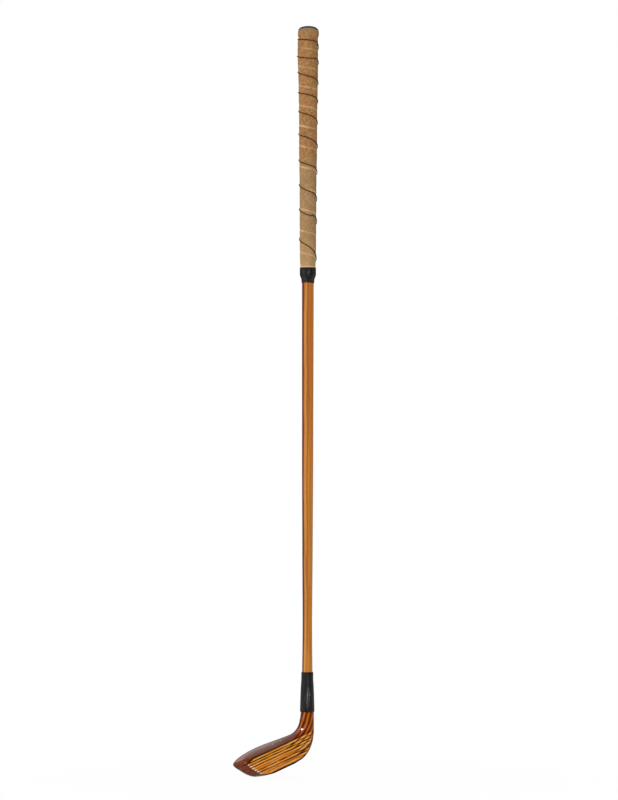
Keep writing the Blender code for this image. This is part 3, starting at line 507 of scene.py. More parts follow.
def turned(name, profile, steps=ROUND_STEPS):
    """Piece turned about the shaft's axis from points of radius and height above the heel point.

    The profile runs down the outside. If it ends off the axis it goes on up the inside and is closed.
    """
    piece = added(name, bpy.ops.mesh.primitive_plane_add, size=GAP)
    edit_all(piece)
    bpy.ops.mesh.merge(type="CENTER")
    points = [Vector((radius, 0.0, HEEL_Z + height)) for radius, height in profile]
    if profile[-1][0] > 0.0:
        points.append(points[0])
    bpy.ops.transform.translate(value=points[0])
    for first, second in zip(points, points[1:]):
        bpy.ops.mesh.extrude_region_move(TRANSFORM_OT_translate={"value": second - first})
    merging = {"use_merge_vertices": True, "merge_threshold": MERGE_DISTANCE * 10}
    apply(piece, "SCREW", steps=steps, render_steps=steps, **merging)
    edit_all(piece)
    bpy.ops.mesh.remove_doubles(threshold=MERGE_DISTANCE)
    bpy.ops.mesh.normals_make_consistent(inside=False)
    clear_selection()
    return piece


def plate(outline, thickness, placing):
    """Flat outline in X and Y given thickness along Z, then placed by a matrix."""
    made = added("plate", bpy.ops.mesh.primitive_circle_add, vertices=len(outline), fill_type="NGON")
    for point, (x, y) in zip(made.data.vertices, outline):
        point.co = (x, y, 0.0)
    edit_all(made)
    bpy.ops.mesh.extrude_region_move(TRANSFORM_OT_translate={"value": (0.0, 0.0, thickness)})
    bpy.ops.mesh.select_all(action="SELECT")
    bpy.ops.mesh.normals_make_consistent(inside=False)
    clear_selection()
    made.matrix_world = placing
    bpy.context.view_layer.update()
    return made


def bar(sides, radius, length, placing):
    """Straight bar about its own Z axis, placed by a matrix."""
    shape = bpy.ops.mesh.primitive_cylinder_add
    made = added("bar", shape, vertices=sides, radius=radius, depth=length)
    made.matrix_world = placing
    bpy.context.view_layer.update()
    return made


def finish_piece(piece, material, slot, *nodes, crease=CREASE):
    """Shade a piece smoothly but for its creases, give it its material and body, and hide the imported parts
    it stands in for.
    """
    pick(piece)
    bpy.ops.object.shade_smooth_by_angle(angle=crease)
    apply(piece, "WEIGHTED_NORMAL", keep_sharp=True)
    piece.data.materials.clear()
    piece.data.materials.append(material)
    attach(piece, "root")
    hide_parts(*nodes)


# Materials


class Flow:
    """Output of a shader node. Sums, products, ramps and patterns of it are nodes in their turn."""

    def __init__(self, socket):
        self.socket = socket

    def math(self, operation, *others):
        """Result of a calculation with it and other values."""
        return add(self, "ShaderNodeMath", dict(enumerate((self, *others))), operation=operation)

    def vector(self, operation, *others, output=0):
        """Result of a calculation with it and other vectors."""
        feeds = dict(enumerate((self, *others)))
        return add(self, "ShaderNodeVectorMath", feeds, output, operation=operation)

    def __add__(self, other):
        return self.math("ADD", other)

    def __sub__(self, other):
        return self.math("SUBTRACT", other)

    def __mul__(self, other):
        return self.math("MULTIPLY", other)

    __radd__ = __add__
    __rmul__ = __mul__

    def ramp(self, low, high, start=0.0, end=1.0):
        """Value that goes from start to end as this goes from low to high, and stays there beyond."""
        feeds = {"Value": self, "From Min": low, "From Max": high, "To Min": start, "To Max": end}
        return add(self, "ShaderNodeMapRange", feeds, interpolation_type="SMOOTHSTEP")

    def fall(self, low, high):
        """Value that falls from 1 to 0 as this goes from low to high."""
        return self.ramp(low, high, 1.0, 0.0)

    def parts(self):
        """Its parts along X, Y and Z."""
        split = add(self, "ShaderNodeSeparateXYZ", {0: self})
        return [Flow(socket) for socket in split.socket.node.outputs]

    def noise(self, scale, detail):
        """Clouds between 0 and 1 by place, even in all directions."""
        return add(self, "ShaderNodeTexNoise", {"Vector": self, "Scale": scale, "Detail": detail})

    def streaks(self, width, length, detail=3.0, phase=0.0):
        """Noise by place whose marks are as wide across and as long along Z as real fibres, in metres."""
        size = (1 / width, 1 / width, 1 / length)
        laid = {"Vector": self, "Location": (phase, phase, 0.0), "Scale": size}
        stretch = add(self, "ShaderNodeMapping", laid)
        feeds = {"Vector": stretch, "Scale": 1.0, "Detail": detail, "Roughness": 0.55}
        return add(self, "ShaderNodeTexNoise", feeds)


def feed(node, key, value):
    """Link an output to an input of a node, or set the input's own value."""
    if isinstance(value, Flow):
        node.id_data.links.new(value.socket, node.inputs[key])
    else:
        node.inputs[key].default_value = value


def add(near, kind, feeds=None, output=0, **settings):
    """Add one node with its settings and links, and return one of its outputs.

    It goes into a tree, or into the tree of an output. Feeds are values or outputs, by the name or
    number of the input.
    """
    tree = near.socket.id_data if isinstance(near, Flow) else near
    made = tree.nodes.new(kind)
    for name, value in settings.items():
        setattr(made, name, value)
    for key, value in (feeds or {}).items():
        feed(made, key, value)
    return Flow(made.outputs[output])


def blend(share, first, second, mode="MIX"):
    """Colour between two colours. At least one of the three is an output."""
    near = next(value for value in (share, first, second) if isinstance(value, Flow))
    tints = [tint if isinstance(tint, Flow) else (*tint, 1.0) for tint in (first, second)]
    feeds = {0: share, 6: tints[0], 7: tints[1]}
    return add(near, "ShaderNodeMix", feeds, 2, data_type="RGBA", blend_type=mode)


def painted(ground, *layers):
    """Colour with layers over it, each given as its share and its colour."""
    for share, tint in layers:
        ground = blend(share, ground, tint)
    return ground


class Surface:
    """Material in the making: its tree, its shader, and the place on the piece."""

    def __init__(self, name):
        self.material = bpy.data.materials.new(name)
        self.material.use_nodes = True
        self.tree = self.material.node_tree
        self.shader = self.tree.nodes["Principled BSDF"]
        self.place = add(self.tree, "ShaderNodeTexCoord", output="Object")

    def finished(self, feeds, relief=None, depth=0.0):
        """Material whose shader has the given inputs, and a relief as deep as the given distance."""
        for key, value in feeds.items():
            feed(self.shader, key, value)
        if relief:
            feed(self.shader, "Normal", add(relief, "ShaderNodeBump", {"Height": relief, "Distance": depth}))
        return self.material


def along_grain(reach, level):
    """Distances across and along the grain, which turns about a centre above the head."""
    x = reach - GRAIN_CENTRE_X
    down = level * -1.0 + GRAIN_CENTRE_Z
    angle = x.math("ARCTAN2", down).math("MAXIMUM", 0.0).math("MINIMUM", GRAIN_TURN)
    sine, cosine = angle.math("SINE"), angle.math("COSINE")
    return down * cosine + x * sine, angle * GRAIN_ARM + (x * cosine - down * sine)


def bare_face(reach, depth, level):
    """Shares of the bare wood of the face and of the dark border above it."""
    # The top edge is lower toward the toe
    behind = depth - level * tan(FACE_LOFT) + FACE_OFFSET
    over = level - (reach.fall(-0.068, -0.056) * -0.0030 + FACE_STAIN_TOP)
    bare = behind.fall(0.00062, 0.00070) * over.fall(-0.0002, 0.0003)
    border = over.ramp(-0.0002, 0.0002) * over.fall(0.0012, 0.0024)
    border = border * depth.ramp(-0.004, -0.006) * reach.fall(-0.002, 0.003)

    # Rim left stained round the heel, measured in from the outline of the bend
    past = (reach + HEEL_START).math("MAXIMUM", 0.0)
    fall = level * -1.0 + BEND_CENTRE_Z
    turn = past.math("ARCTAN2", fall).ramp(0.0, BEND_ANGLE)
    outline = mix(BEND_CENTRE_Z - SOLE_CUT, BEND_ARM + NECK_RADIUS, turn)
    arm = add(reach, "ShaderNodeCombineXYZ", {0: past, 1: fall}).vector("LENGTH", output=1)
    rim = outline - arm + turn.ramp(0.10, 0.40, 0.0, -HEEL_RIM)
    return bare * rim.ramp(-0.0002, 0.0002), border


def line_stain(seated, level, from_line):
    """Share of the old stain in the scoring lines, with a cleaner stretch and little near the sole."""
    last_line = GROOVE_FIRST + (GROOVE_COUNT - 0.5) * GROOVE_PITCH
    left_over = {"Vector": seated, "Scale": (1 / 0.012, 1 / 0.050, 1 / 0.0022)}
    stained = add(seated, "ShaderNodeMapping", left_over).noise(1.0, 2.0).ramp(0.36, 0.62, 0.45, 1.0)
    clean = level.ramp(0.0127, 0.0135) * level.fall(0.0150, 0.0158)
    stained = stained * clean.ramp(0.0, 1.0, 1.0, 0.45) * level.ramp(0.0060, 0.0075, 0.45, 1.0)
    return from_line.fall(0.00045, 0.00096) * level.fall(last_line, last_line + 0.0002) * stained


def head_wood(colours):
    """Beech, stained dark and varnished on crown, toe and neck and left bare on the scored face.

    Its growth lines bend from neck to head, about 4.6 mm apart, and show dark. The varnish gives a sharp
    reflection, and the bare face is duller. Old stain stays here and there in the scoring lines.
    """
    surface = Surface("varnished_beech")
    place = surface.place
    frame_of_head = {"Vector": place, "Location": (0.0, 0.0, HEEL_Z), "Rotation": (0.0, -LIE_TILT, 0.0)}
    seated = add(place, "ShaderNodeMapping", frame_of_head, vector_type="TEXTURE")
    reach, depth, level = seated.parts()
    across, along = along_grain(reach, level)
    grain = add(place, "ShaderNodeCombineXYZ", {0: across, 1: depth, 2: along})
    bare, border = bare_face(reach, depth, level)
    from_line = (level - GROOVE_FIRST).math("PINGPONG", GROOVE_PITCH / 2)
    in_line = line_stain(seated, level, from_line) * bare

    # Growth lines, dark ones and pale ones half way between them
    ring = (across + grain.streaks(0.009, 0.060, 2.0) * 0.0050 - 0.0012).math("PINGPONG", GRAIN_PITCH / 2)
    in_bend = along.ramp(-0.004, 0.010)
    strength = grain.streaks(0.0045, 0.045, 2.0, 5.3).ramp(0.36, 0.62, 0.25, 1.0)
    line = ring.fall(0.00010, 0.00110) * (strength + in_bend * 0.5).ramp(0.0, 1.0)
    pale_line = ring.ramp(GRAIN_PITCH / 2 - 0.0009, GRAIN_PITCH / 2)
    fibres = grain.streaks(0.0007, 0.016, 4.0, 2.1)
    clouds = grain.streaks(0.004, 0.016, 3.0, 9.7)

    # Stain: maroon on crown and toe, deep red at the saddle, orange brown up the neck
    on_neck = along.ramp(0.016, 0.030)
    toward_toe = reach.ramp(-0.058, -0.068)
    stain = painted(
        colours.crown_stain,
        (along.ramp(0.004, 0.018), colours.saddle_stain),
        (along.ramp(0.024, 0.036), colours.neck_stain),
        (toward_toe, colours.toe_stain),
    )
    stain = blend(clouds.ramp(0.40, 0.70), stain, (1.55, 1.45, 1.35), "MULTIPLY")
    mottle = place.noise(420.0, 3.0).ramp(0.52, 0.40) * toward_toe
    stain = blend(mottle, stain, (0.50, 0.42, 0.50), "MULTIPLY")
    stain = blend(pale_line * on_neck * 0.95, stain, colours.neck_light)
    raw = painted(
        colours.bare_wood,
        (level.ramp(0.008, 0.022), colours.bare_wood_light),
        (clouds.ramp(0.35, 0.65, 0.0, 0.5), colours.bare_wood_pale),
        (pale_line * 0.55, colours.bare_wood_pale),
    )
    lines_here = in_bend * (bare + on_neck).ramp(0.0, 1.0, 0.2, 0.70) + 0.28

    # Painted highlight: the ends of the lands at the toe edge are painted pale as glints
    end = reach + level * LAND_END_SLOPE
    worn = end.fall(LAND_END_X + 0.0006, LAND_END_X + 0.0015) * bare * from_line.ramp(0.0006, 0.0010)
    wood = painted(
        stain,
        (bare, raw),
        # Dark band painted along the top edge of the face, in the colour of the scoring lines
        (border * 0.92, colours.groove_line),
        (fibres.ramp(0.28, 0.60, 0.45, 0.0), colours.grain_line),
        (line * lines_here, colours.neck_line),
        (in_line, colours.groove_line),
        (worn * 0.95, colours.land_end_glint),
    )
    # Pale spots painted on crown and toe as highlights
    for spot_x, spot_z, half in PAINTED_GLINTS:
        spot = seated.vector("MULTIPLY_ADD", (1.0, 0.0, 1.6), (-spot_x, 0.0, -1.6 * spot_z))
        shown = spot.vector("LENGTH", output=1).ramp(half * 0.4, half, 0.75, 0.0)
        wood = blend(shown * depth.fall(0.006, 0.008), wood, colours.crown_and_toe_glint)

    # Varnish is thickest on the toe, rubbed thin toward the saddle, and gone from the face
    coat = reach.ramp(-0.040, -0.008, 1.0, 0.35) + on_neck * 0.15
    feeds = {
        "Base Color": wood,
        "Roughness": bare.ramp(0.0, 1.0, 0.22, 0.42),
        "Specular IOR Level": 0.05,
        "Coat Weight": coat * bare.ramp(0.0, 1.0, 1.0, 0.2),
        "Coat Roughness": 0.05,
    }
    return surface.finished(feeds, fibres * bare, 0.00003)


def shaft_wood(colours):
    """Hickory, oiled and varnished: long straight grain with fine pores, and amber from old varnish."""
    surface = Surface("varnished_hickory")
    place = surface.place
    x, y, height = place.parts()
    bands = place.streaks(0.0030, 0.160, 2.0)
    lines = place.streaks(0.0009, 0.090, 3.0, 4.4)
    pores = place.streaks(0.00025, 0.006, 2.0, 8.8)
    low = HEEL_Z + SLEEVE_TOP_HEIGHT
    # Painted highlight: paler just above the whipping, with less painted shade at the front there
    highlight_above_whipping = height.fall(low + 0.012, low + 0.040)

    # Painted light by the side that faces the camera: painted shade along the left side, a painted highlight
    # streak next to it, and painted shade at the front
    slow = add(place, "ShaderNodeCombineXYZ", {2: height * 14.0})
    side = x.math("ARCTAN2", y * -1.0) + slow.noise(1.0, 2.0).ramp(0.3, 0.7, -0.10, 0.10)
    pale = side.ramp(-0.66, -0.46) * side.fall(-0.36, -0.08)
    dark = side.ramp(-2.0, -1.6) * side.fall(-0.84, -0.58)
    middle = side.ramp(-0.26, -0.10) * side.fall(0.02, 0.18)
    wood = painted(
        colours.shaft_gold,
        (height.ramp(HEEL_Z + 0.20, HEEL_Z + 0.52), colours.shaft_brown),
        (highlight_above_whipping * 0.6, colours.shaft_painted_highlight),
        (pale * 0.85, colours.shaft_painted_highlight),
        (dark, colours.shaft_painted_shade),
        (middle * highlight_above_whipping.ramp(0.0, 1.0, 0.50, 0.15), colours.shaft_grain_and_painted_shade),
        (bands.ramp(0.35, 0.65, 0.0, 0.25), colours.shaft_grain_and_painted_shade),
        (lines.ramp(0.50, 0.68, 0.0, 0.55), colours.shaft_grain_and_painted_shade),
        (pores.ramp(0.60, 0.72, 0.0, 0.45), colours.grain_line),
    )
    feeds = {"Base Color": wood, "Roughness": 0.34, "Coat Weight": 0.15, "Coat Roughness": 0.25}
    return surface.finished(feeds, pores, 0.00002)


def suede(colours, name, wound):
    """Calf leather, flesh side out: a short soft nap, blotched by hands, paler where an edge is cut."""
    surface = Surface(name)
    place = surface.place
    x, _, height = place.parts()
    blotch = place.noise(90.0, 3.0)
    speck = place.noise(460.0, 4.0)
    nap = place.noise(2600.0, 3.0)
    hide = painted(
        colours.suede_dark,
        (blotch.ramp(0.34, 0.62, 0.45, 1.0), colours.suede),
        (place.noise(250.0, 4.0).ramp(0.48, 0.62, 0.0, 0.65), colours.suede_red),
        (speck.ramp(0.34, 0.50, 0.75, 0.0), colours.suede_dark),
        (speck.ramp(0.52, 0.68, 0.0, 0.60), colours.suede_pale),
    )
    if wound:
        # Handled below the middle, bleached above the band, with pale seams and a pale lower edge
        across = add(place, "ShaderNodeTexCoord", output="UV").parts()[1]
        edge = across.math("PINGPONG", 0.5).fall(0.022, 0.042) * blotch.ramp(0.40, 0.54, 0.42, 0.90)
        edge = edge * height.ramp(BUTT_Z - 0.12, BUTT_Z - 0.08, 0.95, 0.6)
        end = BUTT_Z - BAND_TOP_DEPTH
        handled = height.ramp(BUTT_Z - 0.145, BUTT_Z - 0.172, 0.0, 0.32)
        hide = blend(handled, hide, colours.suede_handled)
        hide = blend(height.ramp(end + 0.0520, end + 0.0080), hide, (1.22, 1.24, 1.26), "MULTIPLY")
        hem = height.ramp(end + 0.0016, end + 0.0022, 0.75, 0.0)
        hide = painted(hide, (edge, colours.cut_edge), (hem, colours.cut_edge))
    else:
        # Soiled at the top, with painted shade along the rounded edge that runs lower at the sides
        soiled = height.ramp(BUTT_Z - 0.0090, BUTT_Z - 0.0045, 0.0, 0.75)
        edge = (height + x * x * CAP_SHADE_FALL).ramp(BUTT_Z - 0.0027, BUTT_Z - 0.0021, 0.0, 0.95)
        hide = painted(hide, (soiled, colours.suede_soiled), (edge, colours.painted_cap_shade))
    feeds = {"Base Color": hide, "Roughness": 0.92, "Specular IOR Level": 0.25}
    return surface.finished(feeds, blend(0.45, nap, speck), 0.00022)


def waxed_thread(name, tint, dullness, specular, relief):
    """Waxed linen thread: close fibres that the wax makes dark and slightly shiny, paler where worn."""
    surface = Surface(name)
    wear = surface.place.noise(240.0, 4.0)
    feeds = {
        "Base Color": blend(wear.ramp(0.52, 0.74, 0.0, 0.5), tint, (2.2, 2.1, 2.0), "MULTIPLY"),
        "Roughness": wear.ramp(0.35, 0.65, dullness, dullness + 0.15),
        "Specular IOR Level": specular,
    }
    return surface.finished(feeds, surface.place.noise(1900.0, 2.0), relief)


def cotton_tape(colours):
    """Black cotton tape, rubbed grey along its folds, the grey streaks partly a painted highlight."""
    surface = Surface("black_tape")
    fold = surface.place.streaks(0.0013, 0.011, 3.0, 3.1)
    weave = surface.place.noise(2200.0, 2.0)
    cloth = blend(fold.ramp(0.50, 0.70), colours.tape, colours.tape_rubbed_and_highlight)
    return surface.finished({"Base Color": cloth, "Roughness": 0.55}, blend(0.75, weave, fold), 0.00018)


def listing_cloth(colours):
    """Plain-woven wool listing, hidden under the leather: a weave of threads 0.7 mm apart."""
    surface = Surface("wool_listing")
    spaced = {"Vector": surface.place, "Scale": 2 * pi / (0.0007 * 20.0)}
    weft = add(surface.tree, "ShaderNodeTexWave", spaced, "Fac", bands_direction="Z")
    warp = add(surface.tree, "ShaderNodeTexWave", spaced, "Fac", bands_direction="DIAGONAL")
    woven = weft * warp
    cloth = blend(woven, colours.listing, (0.30, 0.27, 0.21))
    return surface.finished({"Base Color": cloth, "Roughness": 0.95}, woven, 0.0002)


def horn(colours):
    """Ram's horn, filed flush and dull: near black with brown streaks along the slip."""
    surface = Surface("ram_horn")
    laid = {"Vector": surface.place, "Rotation": (0.0, pi / 2 - LIE_TILT, 0.0)}
    streak = add(surface.tree, "ShaderNodeMapping", laid, vector_type="TEXTURE").streaks(0.0009, 0.020)
    tone = blend(streak.ramp(0.50, 0.75, 0.0, 0.8), colours.horn, colours.horn_streak)
    feeds = {"Base Color": tone, "Roughness": 0.6, "Specular IOR Level": 0.08}
    return surface.finished(feeds, streak, 0.00002)


def lead(colours):
    """Lead run into the back and filed: dull grey metal with a darker skin and fine file marks."""
    surface = Surface("filed_lead")
    skin = surface.place.noise(260.0, 5.0)
    marks = surface.place.streaks(0.0003, 0.006, 2.0)
    tone = blend(skin.ramp(0.35, 0.65), colours.lead, colours.lead_dark)
    feeds = {"Base Color": tone, "Metallic": 1.0, "Roughness": skin.ramp(0.35, 0.65, 0.42, 0.60)}
    return surface.finished(feeds, blend(0.5, marks, skin), 0.00008)


def brass(colours):
    """Stamped brass tack, dulled by age."""
    surface = Surface("aged_brass")
    tarnish = surface.place.noise(900.0, 4.0)
    tone = blend(tarnish.ramp(0.40, 0.65), colours.brass, colours.brass_dark)
    dull = tarnish.ramp(0.40, 0.65, 0.30, 0.50)
    return surface.finished({"Base Color": tone, "Metallic": 1.0, "Roughness": dull})


def peg_wood(colours):
    """Boxwood pegs, cut across: pale end grain with fine dark pores."""
    surface = Surface("boxwood_end_grain")
    spots = surface.place.noise(2400.0, 3.0)
    tone = painted(colours.peg, (spots.ramp(0.40, 0.62), colours.grain_line), (0.6, colours.peg))
    return surface.finished({"Base Color": tone, "Roughness": 0.5}, spots, 0.00004)


def dyed_disc(colours):
    """Sole leather disc, dyed almost black and waxed, paler where it is rubbed and at its edge."""
    surface = Surface("dyed_leather_disc")
    rub = surface.place.noise(420.0, 5.0)
    rim = surface.place.parts()[2].ramp(BUTT_Z - 0.0036, BUTT_Z - 0.0026, 0.9, 0.0)
    tone = painted(colours.disc, (rub.ramp(0.48, 0.72), colours.disc_rubbed), (rim, colours.suede_soiled))
    feeds = {"Base Color": tone, "Roughness": 0.5, "Specular IOR Level": 0.2}
    return surface.finished(feeds, rub, 0.0001)


# Shape of the shaft and of the head


def reached(line, goal, low, high):
    """Place between low and high where a rising line comes up to a value."""
    for _ in range(50):
        middle = (low + high) / 2
        if line(middle) < goal:
            low = middle
        else:
            high = middle
    return low


def shaft_radius(height):
    """Radius of the shaft: tapers from the butt to a waist, then swells toward the neck."""
    if height >= GRIP_END:
        share = min(1.0, (height - GRIP_END) / (SHAFT_TOP - GRIP_END))
        return mix(SHAFT_GRIP_DIAMETER, SHAFT_BUTT_DIAMETER, share) / 2
    return through(SHAFT_PROFILE, height) / 2


def tip_profile(clearance):
    """Shaft tip below its shoulder, grown by a clearance."""
    end = TIP_END_HEIGHT - clearance
    top = (TIP_TOP_DIAMETER / 2 + clearance, NECK_RIM_HEIGHT + 2 * GAP)
    return [top, (TIP_END_DIAMETER / 2 + clearance, end), (0.0, end)]


def belly_share(share):
    """Height of the frontmost line, as a share of the section's height."""
    if share < FACE_CORNER_SHARE:
        return mix(TOE_BELLY_SHARE, belly_share(FACE_CORNER_SHARE), share / FACE_CORNER_SHARE)
    sole, crown = through(SOLE_LINE, share), through(CROWN_LINE, share)
    ridge, front = through(RIDGE_LINE, share), through(FRONT_LINE, share)
    across = min(1.0, (ridge - face_depth(FACE_TOP)) / (ridge - front))
    rise = (1 - across * across) ** 0.5
    level = (FACE_TOP - rise * crown) / (1 - rise)
    return (level - sole) / (crown - sole)


def body_station(share):
    """Section of the head's body, upright on the sole, at a place from 0 at the toe tip to 1 at the heel."""
    return {
        "foot": (-HEAD_REACH + BODY_LENGTH * share * share, BEND_CENTRE_Z),
        "turn": 0.0,
        "near": BEND_CENTRE_Z - through(CROWN_LINE, share),
        "far": BEND_CENTRE_Z - through(SOLE_LINE, share),
        "front": through(FRONT_LINE, share),
        "back": through(BACK_LINE, share),
        "ridge": through(RIDGE_LINE, share),
        "front_belly": belly_share(share),
        "back_belly": BACK_BELLY_SHARE,
        "front_power": through(FRONT_POWER, share),
        "back_power": BACK_POWER,
    }


def bend_station(turned_share):
    """Section in the bend from body to neck."""
    heel = body_station(1.0)
    share = (1 + BEND_RUN * turned_share / BODY_LENGTH) ** 0.5
    section = {
        "foot": (-HEEL_START, BEND_CENTRE_Z),
        "turn": BEND_ANGLE * turned_share,
        "near": mix(heel["near"], BEND_ARM - NECK_RADIUS - NECK_SADDLE_SWELL, turned_share),
        "far": mix(heel["far"], BEND_ARM + NECK_RADIUS, ease(turned_share**HEEL_EASE)),
        "front": through(FRONT_LINE, share),
        "back": through(BACK_LINE, share),
        "ridge": through(RIDGE_LINE, share),
    }
    for name, value in ROUND_SECTION.items():
        section[name] = mix(heel[name], value, ease(turned_share))
    return section


def neck_station(height, radius, swell):
    """Round section of the neck at a height up the shaft's axis."""
    rise = height - BEND_HEIGHT
    return {
        **bend_station(1.0),
        "foot": (-HEEL_START + rise * sin(LIE_TILT), BEND_CENTRE_Z + rise * cos(LIE_TILT)),
        "near": BEND_ARM - radius - swell,
        "far": BEND_ARM + radius,
        "front": -radius,
        "back": radius,
    }


def section_points(section):
    """Ring of points of one section, from the ridge forward, under the sole and up the back."""
    near, far, ridge = section["near"], section["far"], section["ridge"]
    front, back = section["front"] - ridge, section["back"] - ridge
    front_level = far - (far - near) * section["front_belly"]
    back_level = far - (far - near) * section["back_belly"]
    rising = spread(0.0, 1.0, RING_QUARTER)[:-1]
    falling = spread(1.0, 0.0, RING_QUARTER)[:-1]
    quarters = (
        (falling, front, front_level, near, ROUND_POWER),
        (rising, front, front_level, far, section["front_power"]),
        (falling, back, back_level, far, section["back_power"]),
        (rising, back, back_level, near, ROUND_POWER),
    )
    foot_x, foot_z = section["foot"]
    along_x, along_z = sin(section["turn"]), -cos(section["turn"])
    ring = []
    for shares, reach, level, end, power in quarters:
        for share in shares:
            angle = share * pi / 2
            depth = ridge + reach * max(0.0, cos(angle)) ** (2 / power)
            away = level + (end - level) * sin(angle) ** (2 / power)
            ring.append((foot_x + along_x * away, depth, foot_z + along_z * away))
    return ring


def head_stations():
    """Sections of the head and neck, from the toe tip to the neck's rim."""
    stations = [body_station(share) for share in spread(TOE_START_SHARE, 1.0, TOE_STATIONS)[:-1]]
    stations += [bend_station(share) for share in spread(0.0, 1.0, BEND_STATIONS)[:-1]]
    for share in (0.0, 0.25, 0.5, 0.75, 1.0):
        height = mix(BEND_HEIGHT, SLEEVE_BOTTOM_HEIGHT - GAP, share)
        stations.append(neck_station(height, NECK_RADIUS, NECK_SADDLE_SWELL * (1 - share) ** 2))
    return stations + [neck_station(height, radius, 0.0) for radius, height in NECK_UNDER_SLEEVE]


def head_blank(name):
    """Head and neck before anything is cut."""
    rings = [[HEAD_FRAME @ Vector(point) for point in section_points(s)] for s in head_stations()]
    rows = 4 * RING_QUARTER
    return drawn_surface(name, len(rings) - 1, rows, lambda column, row: rings[column][row % rows])


def across_head(back):
    """Placing of a plate that is drawn along and up the head and reaches forward from a depth."""
    return HEAD_FRAME @ Matrix.Translation((0.0, back, 0.0)) @ Matrix.Rotation(pi / 2, 4, "X")


def cut_out(blank, name, outline, reach, back):
    """Piece that is the part of a blank inside an outline, which reaches forward from a depth."""
    piece = twin(blank, name)
    shape = plate(outline, reach, across_head(back))
    carve(piece, shape, "INTERSECT")
    discard(shape)
    return piece


def cut_face_and_sole(piece):
    """Plane the striking face, run it out above its top, and saw the sole flat."""
    outline = [(face_depth(-REACH_OF_CUTS), -REACH_OF_CUTS)]
    for step in range(FACE_RUN_STEPS + 1):
        angle = FACE_RUN_ANGLE * step / FACE_RUN_STEPS
        forward = FACE_RUN_RADIUS * (cos(FACE_LOFT) - cos(angle - FACE_LOFT))
        up = FACE_RUN_RADIUS * (sin(angle - FACE_LOFT) + sin(FACE_LOFT))
        outline.append((face_depth(FACE_TOP) - forward, FACE_TOP + up))
    outline += [(-REACH_OF_CUTS, outline[-1][1]), (-REACH_OF_CUTS, -REACH_OF_CUTS)]
    turn = Matrix.Rotation(pi / 2, 4, "Z") @ Matrix.Rotation(pi / 2, 4, "X")
    placing = HEAD_FRAME @ Matrix.Translation((-REACH_OF_CUTS, 0.0, 0.0)) @ turn
    front = plate(outline, 2 * REACH_OF_CUTS, placing)
    carve(piece, front)
    discard(front)
    edit_all(piece)
    down = HEAD_FRAME.to_3x3() @ Vector((0.0, 0.0, -1.0))
    bpy.ops.mesh.bisect(plane_co=HEAD_FRAME.translation, plane_no=down, clear_outer=True, use_fill=True)
    clear_selection()


def heel_point(turned_share):
    """Lowest point of a section in the bend: its place along the sole and its height."""
    away, angle = bend_station(turned_share)["far"], BEND_ANGLE * turned_share
    return -HEEL_START + away * sin(angle), BEND_CENTRE_Z - away * cos(angle)


def sole_height(x):
    """Height of the head's lower outline at a place along the sole."""
    if x <= -HEEL_START:
        return through(SOLE_LINE, max(0.0, min(1.0, (x + HEAD_REACH) / BODY_LENGTH)) ** 0.5)
    return heel_point(reached(lambda share: heel_point(share)[0], x, 0.0, 1.0))[1]


def slip_outline(growth):
    """Outline of the slip seen from the face, grown by a clearance."""
    left, right = -SLIP_TOE_END - growth, -SLIP_HEEL_END + growth
    top = [(x, max(0.0, sole_height(x)) + SLIP_THICKNESS + growth) for x in spread(left, right, 40)]
    return [*top, (right, -REACH_OF_CUTS / 4), (left, -REACH_OF_CUTS / 4)]


def weight_outline(growth):
    """Outline of the weight seen from the back: a bar with round ends."""
    radius = WEIGHT_WIDTH / 2 + growth
    half = (WEIGHT_LENGTH - WEIGHT_WIDTH) / 2
    steps = 20
    outline = []
    for side, start in ((1, -pi / 2), (-1, pi / 2)):
        for step in range(steps + 1):
            angle = start + pi * step / steps
            x = side * half - WEIGHT_REACH + radius * cos(angle)
            outline.append((x, WEIGHT_HEIGHT + radius * sin(angle)))
    return outline


def peg_bars(radius, low, high):
    """Three upright bars through the slip, one for each peg."""
    made = []
    for number in range(3):
        middle = (-PEG_FIRST - PEG_SPACING * number, -FACE_OFFSET + PEG_SETBACK, (low + high) / 2)
        made.append(bar(32, radius, high - low, HEAD_FRAME @ Matrix.Translation(middle)))
    return made


# Shape of the grip


def grip_radius(depth):
    """Radius of the leather's outside at a depth below the butt."""
    return through(GRIP_PROFILE, depth) / 2


def thread_depth(turn):
    """Depth of the thread at a number of turns."""
    return through(THREAD_WAY, turn)


def seam_depth(turn):
    """Depth of the strip's seam at a number of turns, which lies flatter at the front than at the back."""
    angle = 2 * pi * turn
    even = SEAM_FIRST_DEPTH + SEAM_PITCH * turn + SEAM_GROWTH * turn * turn
    return even + SEAM_PITCH / (2 * pi) * (SEAM_SAG * (1 - cos(angle)) - SEAM_SWING * sin(angle))


def turn_at(line, depth):
    """Number of turns at which a winding reaches a depth."""
    return reached(line, depth, -5.0, 40.0)


def leather_bulge(turn, depth):
    """How far the leather's first turn stands off on the toe side."""
    toward_toe = max(0.0, -sin(2 * pi * turn))
    started = ease((depth - BULGE_START) / BULGE_RISE)
    return LEATHER_BULGE * toward_toe**2 * started * ease((BULGE_END - depth) / BULGE_FALL)


def wound_point(turn, depth, radius):
    """Point of the winding: whole turns lie at the front, and it runs down from left to right there."""
    return around(radius, 2 * pi * turn - pi / 2, BUTT_Z - depth)


def ripple(angle, seed):
    """Uneven wave round a piece, between -1 and 1, made of a few whole waves."""
    waves = ((5, 0.40), (9, 0.30), (14, 0.20), (23, 0.10))
    return sum(size * sin(count * angle + seed * count * 1.7) for count, size in waves)


def length(name, description, default):
    """Length setting with a name, a description and a default in metres."""
    return FloatProperty(name=name, description=description, default=default, unit="LENGTH", precision=5)


def colour(name, description, code):
    """Colour setting with a name, a description and an sRGB hex default."""
    limits = {"size": 3, "min": 0.0, "max": 1.0}
    default = linear(code)
    return FloatVectorProperty(name=name, description=description, subtype="COLOR", default=default, **limits)


